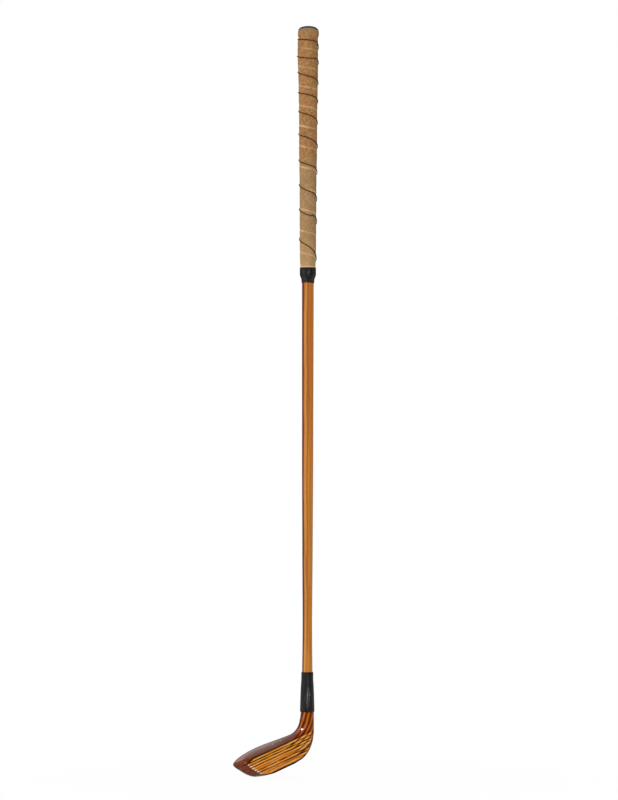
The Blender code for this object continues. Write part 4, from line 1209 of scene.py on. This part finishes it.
class PutterSizes(bpy.types.PropertyGroup):
    """Sizes of the visible detail."""

    groove_width: length("Groove width", "Width of a scoring line", 0.0009)
    groove_depth: length("Groove depth", "Depth of a scoring line", 0.0005)
    thread_diameter: length("Thread", "Diameter of the thread on the grip", 0.0010)
    thread_twist: length("Thread twist", "Length of one twist", 0.0036)
    leather_crown: length("Leather crown", "Swell between thread and seam", 0.0002)
    seam_gap: length("Seam gap", "Gap between two turns of leather", 0.00012)
    whipping_pitch: length("Whipping pitch", "Distance between turns", 0.00062)
    whipping_relief: length("Whipping relief", "Height of a turn", 0.00010)
    tape_fold: length("Tape fold", "Height of the tape's folds", 0.00035)


class PutterColours(bpy.types.PropertyGroup):
    """Colours of the finishes."""

    bare_wood: colour("Bare wood", "Lower part of the face", "#E47C0E")
    bare_wood_light: colour("Light bare wood", "Upper part of the face", "#F0941C")
    bare_wood_pale: colour("Pale bare wood", "Pale growth lines of the face", "#FCBE66")
    # Painted highlight at the ends of the lands
    land_end_glint: colour("Worn wood", "Ends of the lands", "#F6DCC0")
    # Painted highlights on crown and toe
    crown_and_toe_glint: colour("Scuffs", "Scuffs on crown and toe", "#C9A48C")
    grain_line: colour("Grain line", "Dark growth lines", "#5A1E02")
    # Also the dark band painted along the top edge of the face
    groove_line: colour("Groove", "Stain in the scoring lines", "#300E00")
    crown_stain: colour("Crown stain", "Crown and back", "#62300F")
    toe_stain: colour("Toe stain", "Toe", "#7E3C14")
    saddle_stain: colour("Saddle stain", "Saddle between head and neck", "#6A2006")
    neck_stain: colour("Neck stain", "Neck above the face", "#863C06")
    neck_line: colour("Neck line", "Dark growth lines of the head and neck", "#420C00")
    neck_light: colour("Light neck", "Pale growth lines of the neck", "#E4861A")
    shaft_gold: colour("Shaft", "Lower part of the shaft", "#D6881C")
    shaft_brown: colour("Aged shaft", "Upper part of the shaft", "#C87618")
    # Painted highlight streak along the shaft and just above the whipping
    shaft_painted_highlight: colour("Pale shaft", "Pale growth band of the shaft", "#D68C24")
    # Grain of the shaft, and painted shade at its front
    shaft_grain_and_painted_shade: colour("Shaft grain", "Grain of the shaft", "#8A420A")
    # Painted shade along the left side of the shaft
    shaft_painted_shade: colour("Dark shaft", "Dark growth band of the shaft", "#743606")
    suede: colour("Suede", "Leather of the grip", "#A67A4A")
    suede_dark: colour("Dark suede", "Blotches in the leather", "#845E34")
    suede_red: colour("Red suede", "Red specks in the leather", "#A8683C")
    suede_pale: colour("Pale suede", "Pale specks in the leather", "#BC9666")
    suede_handled: colour("Handled suede", "Lower half of the leather", "#A0906C")
    suede_soiled: colour("Soiled suede", "Leather at the butt", "#8C7658")
    # Painted shade along the rounded top edge of the cap
    painted_cap_shade: colour("Cap edge", "Worn black edge of the cap", "#2C2019")
    cut_edge: colour("Cut edge", "Raw edge of the leather", "#DCB484")
    thread: colour("Thread", "Thread on the grip", "#381802")
    whipping: colour("Whipping", "Thread round the neck", "#161313")
    tape: colour("Tape", "Tape below the grip", "#141213")
    # Rubbed grey folds of the tape, partly a painted highlight
    tape_rubbed_and_highlight: colour("Rubbed tape", "Folds of the tape", "#4A4548")
    listing: colour("Listing", "Cloth under the leather", "#8A8272")
    horn: colour("Horn", "Slip in the sole", "#110B08")
    horn_streak: colour("Horn streak", "Streaks in the slip", "#4A3524")
    lead: colour("Lead", "Weight in the back", "#7F8184")
    lead_dark: colour("Dark lead", "Skin on the weight", "#4E4F52")
    peg: colour("Peg", "Pegs in the slip", "#B58A54")
    disc: colour("Disc", "Disc on the butt", "#2B1D15")
    disc_rubbed: colour("Rubbed disc", "Rubbed part of the disc", "#54402F")
    brass: colour("Brass", "Tack in the butt", "#C29A52")
    brass_dark: colour("Dark brass", "Tarnish on the tack", "#7A5A2C")
    ground: colour("Floor", "Floor under the putter", "#F4F4F2")


class PieceOperator:
    """What all operators of the putter share."""

    bl_options = {"REGISTER", "UNDO"}

    @property
    def sizes(self):
        """Sizes set in the panel."""
        return bpy.context.scene.putter_sizes

    @property
    def colours(self):
        """Colours set in the panel."""
        return bpy.context.scene.putter_colours


class PUTTER_OT_head(PieceOperator, bpy.types.Operator):
    """Carve the head with its face, lines, slip, pegs and weight"""

    bl_idname = "putter.head"
    bl_label = "Head"

    def execute(self, context):
        """Make the head, the slip, its pegs and the weight."""
        slip_back = -FACE_OFFSET + SLIP_DEPTH
        slip_reach = REACH_OF_CUTS + slip_back
        weight_reach = REACH_OF_CUTS - (HEAD_BACK - WEIGHT_DEPTH)
        blank = head_blank("head_blank")
        weight = cut_out(blank, "lead_weight", weight_outline(0.0), weight_reach, REACH_OF_CUTS)
        finish_piece(weight, lead(self.colours), "weight_lead", "back_weight")

        cut_face_and_sole(blank)
        slip = cut_out(blank, "horn_slip", slip_outline(0.0), slip_reach, slip_back)
        head = twin(blank, "carved_head")
        discard(blank)
        self.score_face(head)
        bore_top = NECK_RIM_HEIGHT + NECK_DIAMETER
        bore = [(0.0, bore_top), (TIP_TOP_DIAMETER / 2 + GAP, bore_top), *tip_profile(GAP)]
        cutters = [
            plate(slip_outline(GAP), slip_reach + GAP, across_head(slip_back + GAP)),
            plate(weight_outline(GAP), weight_reach + GAP, across_head(REACH_OF_CUTS)),
            turned("socket", bore),
        ]
        holes = peg_bars(PEG_DIAMETER / 2 + GAP, -PEG_LENGTH, PEG_LENGTH + GAP)
        for cutter in (*cutters, *holes):
            carve(head, cutter)
        for hole in holes:
            carve(slip, hole)
        discard(*cutters, *holes)
        finish_piece(head, head_wood(self.colours), "head_wood", "head_block")
        finish_piece(slip, horn(self.colours), "slip_horn", "sole_slip")
        self.make_pegs()
        return {"FINISHED"}

    def score_face(self, head):
        """Cut the scoring lines as three-sided grooves along the face."""
        deep = self.sizes.groove_depth + GROOVE_OVERRUN
        wide = self.sizes.groove_width * deep / self.sizes.groove_depth
        left, right = -HEAD_REACH - GROOVE_OVERRUN, 2 * NECK_DIAMETER
        # A three-sided bar of radius 1 is 1.5 deep and as wide as the square root of 3
        size = Matrix.Diagonal((wide / 3**0.5, deep / 1.5, right - left, 1.0))
        shape = Matrix.Rotation(pi / 2, 4, "Y") @ size
        for number in range(GROOVE_COUNT):
            height = GROOVE_FIRST + number * GROOVE_PITCH
            middle = face_depth(height) + self.sizes.groove_depth - deep / 1.5
            spot = Matrix.Translation(((left + right) / 2, middle, height))
            cutter = bar(3, 1.0, 1.0, HEAD_FRAME @ spot @ shape)
            carve(head, cutter)
            discard(cutter)

    def make_pegs(self):
        """Make the pegs, each with a slightly rounded end."""
        wood = peg_wood(self.colours)
        rounding = {"segments": 2, "limit_method": "ANGLE", "angle_limit": radians(40.0)}
        for number, peg in enumerate(peg_bars(PEG_DIAMETER / 2, 0.0, PEG_LENGTH), 1):
            peg.name = peg.data.name = f"boxwood_peg_{number}"
            peg.data.transform(peg.matrix_world)
            peg.matrix_world = Matrix.Identity(4)
            apply(peg, "BEVEL", width=PEG_EDGE, **rounding)
            finish_piece(peg, wood, "peg_wood", f"slip_peg_{number}", crease=radians(50.0))


class PUTTER_OT_shaft(PieceOperator, bpy.types.Operator):
    """Turn the shaft from butt to tip"""

    bl_idname = "putter.shaft"
    bl_label = "Shaft"

    def execute(self, context):
        """Make the shaft with the hole for the tack."""
        hole = CLUB_LENGTH - TACK_LENGTH - GAP
        butt = SHAFT_BUTT_DIAMETER / 2
        profile = [(0.0, hole), (TACK_BORE, hole), (TACK_BORE, SHAFT_TOP)]
        profile += [(butt - SHAFT_BUTT_EDGE, SHAFT_TOP), (butt, SHAFT_TOP - SHAFT_BUTT_EDGE)]
        profile += [(shaft_radius(height), height) for height in spread(GRIP_END, SLEEVE_TOP_HEIGHT, 40)]
        profile.append((SHAFT_NECK_DIAMETER / 2, NECK_RIM_HEIGHT + SHOULDER_RISE))
        shaft = turned("hickory_shaft", profile + tip_profile(0.0))
        finish_piece(shaft, shaft_wood(self.colours), "shaft_wood", "shaft")
        return {"FINISHED"}


class PUTTER_OT_whipping(PieceOperator, bpy.types.Operator):
    """Wind the waxed thread round the joint of neck and shaft"""

    bl_idname = "putter.whipping"
    bl_label = "Whipping"

    def execute(self, context):
        """Make the whipping, with each turn as a low ridge."""
        low, shoulder, rim = [(radius + GAP, height) for radius, height in NECK_UNDER_SLEEVE]
        bottom = SLEEVE_BOTTOM_HEIGHT + GAP
        top_radius = SHAFT_NECK_DIAMETER / 2 + GAP
        over_rim = max(top_radius, rim[0])
        relief = self.sizes.whipping_relief
        wall = SLEEVE_WALL - relief
        line = [
            (bottom, low[0] + wall + SLEEVE_BOTTOM_SWELL),
            (shoulder[1], shoulder[0] + wall),
            (rim[1] + NECK_RIM_BEVEL / 3, over_rim + wall),
            (SLEEVE_TOP_HEIGHT, top_radius + wall),
        ]
        turns = int((SLEEVE_TOP_HEIGHT - bottom) / self.sizes.whipping_pitch)
        pitch = (SLEEVE_TOP_HEIGHT - bottom) / turns
        drawn_in = {0: SLEEVE_EDGE / 3, turns - 1: SLEEVE_EDGE / 4}
        outer = []
        for turn in range(turns):
            for step in range(RIDGE_STEPS):
                height = SLEEVE_TOP_HEIGHT - turn * pitch - pitch * step / RIDGE_STEPS
                ridge = relief * sin(pi * step / RIDGE_STEPS) - drawn_in.get(turn, 0.0)
                outer.append((through(line, height) + ridge, height))
        outer.append((through(line, bottom) - SLEEVE_EDGE / 2, bottom))
        inner = [
            (low[0], bottom),
            shoulder,
            rim,
            (over_rim, rim[1] + GAP),
            (top_radius, NECK_RIM_HEIGHT + SHOULDER_RISE),
            (top_radius, SLEEVE_TOP_HEIGHT),
        ]
        profile = [*outer, *inner, outer[0]]

        def place(column, row):
            radius, height = profile[column]
            return around(radius, 2 * pi * row / ROUND_STEPS, HEEL_Z + height)

        sleeve = drawn_surface("thread_whipping", len(profile) - 1, ROUND_STEPS, place)
        finish = waxed_thread("waxed_linen_black", self.colours.whipping, 0.30, 0.50, 0.00001)
        finish_piece(sleeve, finish, "sleeve_thread", "neck_sleeve", crease=radians(60.0))
        return {"FINISHED"}


class PUTTER_OT_underlisting(PieceOperator, bpy.types.Operator):
    """Wind the cloth under the leather"""

    bl_idname = "putter.underlisting"
    bl_label = "Underlisting"

    def execute(self, context):
        """Make the cloth layer between shaft and leather."""
        inset = LEATHER_THICKNESS + GAP
        outer = []
        for depth, diameter in CAP_PROFILE:
            if depth > CLUB_LENGTH - SHAFT_TOP + GAP:
                outer.append((diameter / 2 - CAP_WALL - GAP, CLUB_LENGTH - depth))
        outer.insert(0, (outer[0][0] - 2 * GAP, SHAFT_TOP))
        for depth in spread(CAP_LENGTH + UNDERLISTING_STEP, UNDERLISTING_END_DEPTH, 60):
            outer.append((grip_radius(depth) - inset, CLUB_LENGTH - depth))
        end = CLUB_LENGTH - UNDERLISTING_END_DEPTH
        inner = [(shaft_radius(end) + GAP, end), (SHAFT_BUTT_DIAMETER / 2 + GAP, SHAFT_TOP)]
        listing = turned("wool_underlisting", [*outer, *inner])
        finish_piece(listing, listing_cloth(self.colours), "listing_cloth", "grip_underlisting")
        return {"FINISHED"}


class PUTTER_OT_leather(PieceOperator, bpy.types.Operator):
    """Wind the leather strip of the grip"""

    bl_idname = "putter.leather"
    bl_label = "Leather strip"

    def execute(self, context):
        """Make the strip, drawn in under the thread and rolled at its seams."""
        top, bottom = CAP_LENGTH + CAP_JOINT, LEATHER_END_DEPTH
        start = turn_at(seam_depth, top + STRIP_TIP) - 1
        end = turn_at(seam_depth, bottom - STRIP_TIP)
        columns, rows = round((end - start) * ROUND_STEPS), 18
        half_gap = self.sizes.seam_gap / 2
        edges = []
        for turn in spread(start, end, columns):
            upper = max(top, seam_depth(turn) + half_gap)
            lower = min(bottom, seam_depth(turn + 1) - half_gap)
            edges.append((turn, upper, lower))

        def place(column, row):
            turn, upper, lower = edges[column]
            depth = mix(upper, lower, row / rows)
            from_thread = min(abs(depth - thread_depth(turn + lap)) for lap in (-1, 0, 1, 2))
            pressed = 1 / (1 + (from_thread / THREAD_PRESS_WIDTH) ** 2)
            from_cap = 1.0 if upper == top else depth - upper
            from_seam = min(from_cap, lower - depth) / SEAM_ROLL_WIDTH
            swell = self.sizes.leather_crown * (1 - pressed) - SEAM_ROLL * max(0.0, 1 - from_seam) ** 2
            swell += LEATHER_WAVE * ripple(2 * pi * turn * 0.37 + depth * 90, 1.0)
            swell += leather_bulge(turn, depth)
            return wound_point(turn, depth, grip_radius(depth) + swell)

        strip = drawn_surface("suede_strip", columns, rows, place, closed=False)
        thickened(strip, LEATHER_THICKNESS - LEATHER_ROOM)
        finish = suede(self.colours, "calf_suede_strip", True)
        finish_piece(strip, finish, "grip_leather", "leather_strip", crease=radians(50.0))
        return {"FINISHED"}


class PUTTER_OT_thread(PieceOperator, bpy.types.Operator):
    """Wind the thread over the leather"""

    bl_idname = "putter.thread"
    bl_label = "Grip thread"

    def execute(self, context):
        """Make the thread of its twisted plies."""
        half = self.sizes.thread_diameter / 2
        spots = self.ring_spots(half)
        rows = 12

        def place(column, row):
            spot, outward, side, distance = spots[column]
            angle = 2 * pi * (row % rows) / rows
            ply = cos(THREAD_PLIES * angle + 2 * pi * distance / self.sizes.thread_twist)
            radius = half * (1 - PLY_RELIEF + PLY_RELIEF * ply)
            return spot + (outward * cos(angle) + side * sin(angle)) * radius

        thread = drawn_surface("linen_thread", len(spots) - 1, rows, place)
        finish = waxed_thread("waxed_linen_brown", self.colours.thread, 0.60, 0.10, 0.00004)
        finish_piece(thread, finish, "grip_thread", "grip_thread", crease=radians(70.0))
        return {"FINISHED"}

    def ring_spots(self, half):
        """Even places along the thread, each with its two cross directions and its distance along it."""
        end = turn_at(thread_depth, BAND_TOP_DEPTH - GAP - 2 * half)
        path = []
        travelled = 0.0
        for turn in spread(THREAD_WAY[0][0], end, THREAD_SAMPLES):
            depth = thread_depth(turn)
            seat = THREAD_SEAT + leather_bulge(turn, depth)
            point = wound_point(turn, depth, grip_radius(depth) + seat + half)
            if path:
                travelled += (point - path[-1][0]).length
            path.append((point, travelled))
        spots = []
        reach = 0
        for goal in spread(0.0, travelled, round(travelled / THREAD_RING_SPACING)):
            while reach < THREAD_SAMPLES - 1 and path[reach + 1][1] < goal:
                reach += 1
            (first, start), (second, stop) = path[reach], path[reach + 1]
            spot = first.lerp(second, (goal - start) / (stop - start))
            outward = Vector((spot.x, spot.y, 0.0)).normalized()
            side = (second - first).normalized().cross(outward).normalized()
            spots.append((spot, outward, side, goal))
        return spots


class PUTTER_OT_tape(PieceOperator, bpy.types.Operator):
    """Wrap the tape over the lower end of the leather"""

    bl_idname = "putter.tape"
    bl_label = "Tape band"

    def execute(self, context):
        """Make the tape, folded where it is drawn in on to the shaft."""
        wall = BAND_THICKNESS
        on_leather = grip_radius(BAND_TOP_DEPTH) + GAP
        on_shaft = shaft_radius(CLUB_LENGTH - BAND_BOTTOM_DEPTH) + GAP
        outside = [
            (BAND_TOP_DEPTH, on_leather + wall),
            (LEATHER_END_DEPTH - BAND_FALL, on_leather + wall),
            (LEATHER_END_DEPTH + GAP + wall, on_leather - GAP),
            (LEATHER_END_DEPTH + BAND_DRAW, on_shaft + wall),
            (BAND_BOTTOM_DEPTH, on_shaft + wall / 2),
        ]
        columns, rows = 44, 2 * ROUND_STEPS

        def place(column, row):
            share = column / columns
            depth = mix(BAND_TOP_DEPTH, BAND_BOTTOM_DEPTH, share)
            angle = 2 * pi * (row % rows) / rows
            gathered = ease((depth - LEATHER_END_DEPTH + FOLD_LEAD) / FOLD_RUN)
            fold = self.sizes.tape_fold * (0.25 + 0.75 * gathered) * ripple(angle + 0.02 * share, 2.3)
            hem = HEM_SIDES * abs(cos(angle)) + HEM_RIGHT * max(0.0, cos(angle))
            hem += HEM_WAVE * ripple(angle, 4.1)
            drop = (hem - HEM_LEVEL) * ease(share * 1.6 - 0.6)
            radius = through(outside, depth) + max(fold, FOLD_FLOOR)
            return around(radius, angle, BUTT_Z - depth - drop)

        tape = drawn_surface("cotton_tape", columns, rows, place, closed=False)
        edit_all(tape)
        bpy.ops.mesh.remove_doubles(threshold=MERGE_DISTANCE)
        clear_selection()
        thickened(tape, TAPE_THICKNESS)
        finish_piece(tape, cotton_tape(self.colours), "band_tape", "grip_band", crease=radians(60.0))
        return {"FINISHED"}


class PUTTER_OT_butt(PieceOperator, bpy.types.Operator):
    """Cap the butt with leather, a disc and a tack"""

    bl_idname = "putter.butt"
    bl_label = "Butt cap"

    def execute(self, context):
        """Make the leather cap, the disc and the tack."""
        self.make_cap()
        seat = TACK_HEAD_DIAMETER / 2 + GAP
        under = CLUB_LENGTH - CAP_PROFILE[0][0] + GAP
        floor = CLUB_LENGTH - TACK_HEAD_HEIGHT - GAP
        rim = DISC_DIAMETER / 2
        dome = []
        for radius in spread(seat, rim, 14):
            dome.append((radius, CLUB_LENGTH - DISC_HEIGHT * (radius / rim) ** DISC_POWER))
        underside = [(rim - GAP, under), (TACK_BORE, under), (TACK_BORE, floor), (seat, floor)]
        disc = turned("leather_disc", dome + underside)
        finish_piece(disc, dyed_disc(self.colours), "disc_dark", "cap_disc")

        low = CLUB_LENGTH - TACK_HEAD_HEIGHT
        shank = TACK_SHANK_DIAMETER / 2
        point = CLUB_LENGTH - TACK_LENGTH
        profile = [(0.0, CLUB_LENGTH)]
        for step in range(1, 9):
            angle = pi / 2 * step / 8
            profile.append((TACK_HEAD_DIAMETER / 2 * sin(angle), low + TACK_HEAD_HEIGHT * cos(angle)))
        profile += [(shank, low), (shank, point + 2 * TACK_SHANK_DIAMETER), (0.0, point)]
        tack = turned("brass_tack", profile, 32)
        finish_piece(tack, brass(self.colours), "tack_brass", "cap_tack")
        return {"FINISHED"}

    def make_cap(self):
        """Make the leather cap with faint gathers where it is drawn over the butt."""
        outer = [(depth, diameter / 2) for depth, diameter in CAP_PROFILE]
        first, last = outer[0][0], outer[-1][0]
        ceiling = CLUB_LENGTH - SHAFT_TOP - GAP
        profile = [(through(outer, depth), depth, 1.0) for depth in spread(first, last, 30)]
        profile += [(radius - CAP_WALL, depth, 0.0) for depth, radius in reversed(outer) if depth > ceiling]
        profile.append((profile[-1][0] - GAP, ceiling, 0.0))
        profile += [(TACK_BORE, ceiling, 0.0), (TACK_BORE, first, 0.0), profile[0]]

        def place(column, row):
            radius, depth, shown = profile[column]
            angle = 2 * pi * row / ROUND_STEPS
            height = (depth - first) / (last - first)
            gather = CAP_GATHER * ripple(angle, 6.2) * (1 - height) * ease(height * 6)
            bulge = CAP_BULGE * max(0.0, cos(angle)) * sin(pi * min(1.0, height))
            return around(radius + shown * (gather + bulge), angle, BUTT_Z - depth)

        cap = drawn_surface("suede_cap", len(profile) - 1, ROUND_STEPS, place)
        finish = suede(self.colours, "calf_suede_cap", False)
        finish_piece(cap, finish, "cap_leather", "leather_cap", crease=radians(50.0))


class PUTTER_OT_stage(PieceOperator, bpy.types.Operator):
    """Set up the floor, the light and the camera"""

    bl_idname = "putter.stage"
    bl_label = "Stage"

    def execute(self, context):
        """Make the floor, the world, the lamps and the camera."""
        scene = context.scene
        scene.view_settings.view_transform = "Standard"
        round_plate = {"vertices": 96, "radius": FLOOR_RADIUS, "fill_type": "NGON"}
        level = (0.0, 0.0, CAD_BOX[0].z - FLOOR_DROP)
        ground = added("floor", bpy.ops.mesh.primitive_circle_add, location=level, **round_plate)
        ground.data.materials.append(self.pale_floor())
        self.make_curtains()
        self.make_world(scene)
        for lamp in LAMPS:
            self.make_lamp(*lamp)
        lens = bpy.data.cameras.new("camera")
        lens.lens = CAMERA_LENS
        lens.sensor_width = 36.0
        camera = bpy.data.objects.new("camera", lens)
        scene.collection.objects.link(camera)
        camera.location = CAMERA_PLACE
        camera.rotation_euler = (pi / 2, CAMERA_ROLL, 0.0)
        scene.camera = camera
        return {"FINISHED"}

    def make_curtains(self):
        """Dark studio walls with bright cloths, which only reflections show.

        They give varnish and thread their streaks and dark edges.
        """
        low = CAD_BOX[0].z - CURTAIN_DROP
        middle = (0.0, CURTAIN_BACK, (low + CURTAIN_TOP) / 2)
        box = {"size": 1.0, "location": middle, "scale": (*CURTAIN_SPAN, CURTAIN_TOP - low)}
        curtains = added("curtains", bpy.ops.mesh.primitive_cube_add, **box)
        bpy.ops.object.transform_apply(location=True, rotation=False, scale=True)
        felt = Surface("dark_felt")
        feeds = {
            "Base Color": (0.0, 0.0, 0.0, 1.0),
            "Specular IOR Level": 0.0,
            "Emission Color": WHITE,
            "Emission Strength": self.curtain_level(felt.place),
        }
        curtains.data.materials.append(felt.finished(feeds))
        curtains.visible_camera = False
        curtains.visible_diffuse = False
        curtains.visible_transmission = False
        curtains.visible_shadow = False
        return curtains

    def curtain_level(self, place):
        """Brightness of the curtains by their direction from the head."""
        away = place.vector("SUBTRACT", CURTAIN_EYE).vector("NORMALIZE")
        rise = away.parts()[2]
        level = rise.ramp(-0.06, -0.25, 0.0, CURTAIN_FLOOR) + CURTAIN_LEVEL
        level = level + rise.ramp(0.15, 0.70, 0.0, CURTAIN_CEILING)
        flat = away.vector("MULTIPLY", (1.0, 1.0, 0.0)).vector("NORMALIZE")
        for turn, full, outer, strength, reach in SIDE_CLOTHS:
            glow = self.glow(flat, (sin(turn), -cos(turn), 0.0), full, outer, strength)
            level = level + glow * rise.math("ABSOLUTE").fall(reach - 0.08, reach + 0.08)
        return level + self.glow(away, *TOP_CLOTH)

    def glow(self, away, direction, full, outer, strength):
        """Brightness that is full near a direction and fades to nothing at the outer angle."""
        near = away.vector("DOT_PRODUCT", Vector(direction).normalized(), output=1)
        return near.ramp(cos(outer), cos(full), 0.0, strength)

    def pale_floor(self):
        """White floor that stays white to the camera and keeps a soft shadow."""
        paint = Surface("matt_white_paint")
        feeds = {"Base Color": (*self.colours.ground, 1.0), "Roughness": 0.9}
        material = paint.finished(feeds, paint.place.noise(400.0, 2.0), 0.00005)
        glow = add(paint.tree, "ShaderNodeEmission", {"Color": WHITE, "Strength": 1.0})
        cover = paint.place.vector("LENGTH", output=1).ramp(0.12, FLOOR_RADIUS, 0.97, 1.0)
        share = self.seen(paint.tree) * cover
        joined = add(paint.tree, "ShaderNodeMixShader", {0: share, 1: Flow(paint.shader.outputs[0]), 2: glow})
        feed(paint.tree.nodes["Material Output"], 0, joined)
        return material

    def seen(self, tree):
        """1 for what the camera sees, straight or by reflection or through glass."""
        rays = ("Is Camera Ray", "Is Glossy Ray", "Is Transmission Ray")
        camera, glossy, through_glass = [add(tree, "ShaderNodeLightPath", output=ray) for ray in rays]
        return camera.math("MAXIMUM", glossy).math("MAXIMUM", through_glass)

    def make_world(self, scene):
        """White background over a soft light that is strongest from the front."""
        world = bpy.data.worlds.new("studio")
        scene.world = world
        world.use_nodes = True
        tree = world.node_tree
        tree.nodes.clear()
        facing = add(tree, "ShaderNodeTexCoord").vector("DOT_PRODUCT", LIGHT_SIDE, output=1)
        change = {"Value": facing, "From Min": -1.0, "To Min": BACK_LEVEL, "To Max": FRONT_LEVEL}
        level = add(tree, "ShaderNodeMapRange", change)
        soft = add(tree, "ShaderNodeBackground", {"Color": WHITE, "Strength": level})
        white = add(tree, "ShaderNodeBackground", {"Color": WHITE, "Strength": 1.0})
        joined = add(tree, "ShaderNodeMixShader", {0: self.seen(tree), 1: soft, 2: white})
        feed(tree.nodes.new("ShaderNodeOutputWorld"), 0, joined)

    def make_lamp(self, name, place, size, power, goal, fan, lights, shines):
        """Rectangular lamp that looks at a point of the putter. It may light or only be reflected."""
        light = bpy.data.lights.new(name, "AREA")
        light.shape = "RECTANGLE"
        light.size, light.size_y = size
        light.energy = power
        light.spread = fan
        lamp = bpy.data.objects.new(name, light)
        bpy.context.scene.collection.objects.link(lamp)
        lamp.location = place
        lamp.rotation_euler = (Vector(goal) - Vector(place)).to_track_quat("-Z", "Y").to_euler()
        lamp.visible_camera = False
        lamp.visible_diffuse = lights
        lamp.visible_glossy = shines


class PUTTER_PT_panel(bpy.types.Panel):
    """Panel in the sidebar of the 3D view"""

    bl_idname = "PUTTER_PT_panel"
    bl_label = "Golf Putter"
    bl_space_type = "VIEW_3D"
    bl_region_type = "UI"
    bl_category = "Putter"

    def draw(self, context):
        """List the operators, the sizes and the colours."""
        for piece in PIECES:
            self.layout.operator(piece.bl_idname)
        for group in (context.scene.putter_sizes, context.scene.putter_colours):
            for name in group.__annotations__:
                self.layout.prop(group, name)


PIECES = (
    PUTTER_OT_head,
    PUTTER_OT_shaft,
    PUTTER_OT_whipping,
    PUTTER_OT_underlisting,
    PUTTER_OT_leather,
    PUTTER_OT_thread,
    PUTTER_OT_tape,
    PUTTER_OT_butt,
    PUTTER_OT_stage,
)
CLASSES = (PutterSizes, PutterColours, *PIECES, PUTTER_PT_panel)


def register():
    """Register the classes and the settings."""
    for item in CLASSES:
        bpy.utils.register_class(item)
    bpy.types.Scene.putter_sizes = PointerProperty(type=PutterSizes)
    bpy.types.Scene.putter_colours = PointerProperty(type=PutterColours)


def unregister():
    """Remove the settings and the classes."""
    del bpy.types.Scene.putter_colours
    del bpy.types.Scene.putter_sizes
    for item in reversed(CLASSES):
        bpy.utils.unregister_class(item)


def main():
    """Register the operators and make every piece."""
    register()
    bpy.ops.putter.head()
    bpy.ops.putter.shaft()
    bpy.ops.putter.whipping()
    bpy.ops.putter.underlisting()
    bpy.ops.putter.leather()
    bpy.ops.putter.thread()
    bpy.ops.putter.tape()
    bpy.ops.putter.butt()
    bpy.ops.putter.stage()


if __name__ == "__main__":
    main()
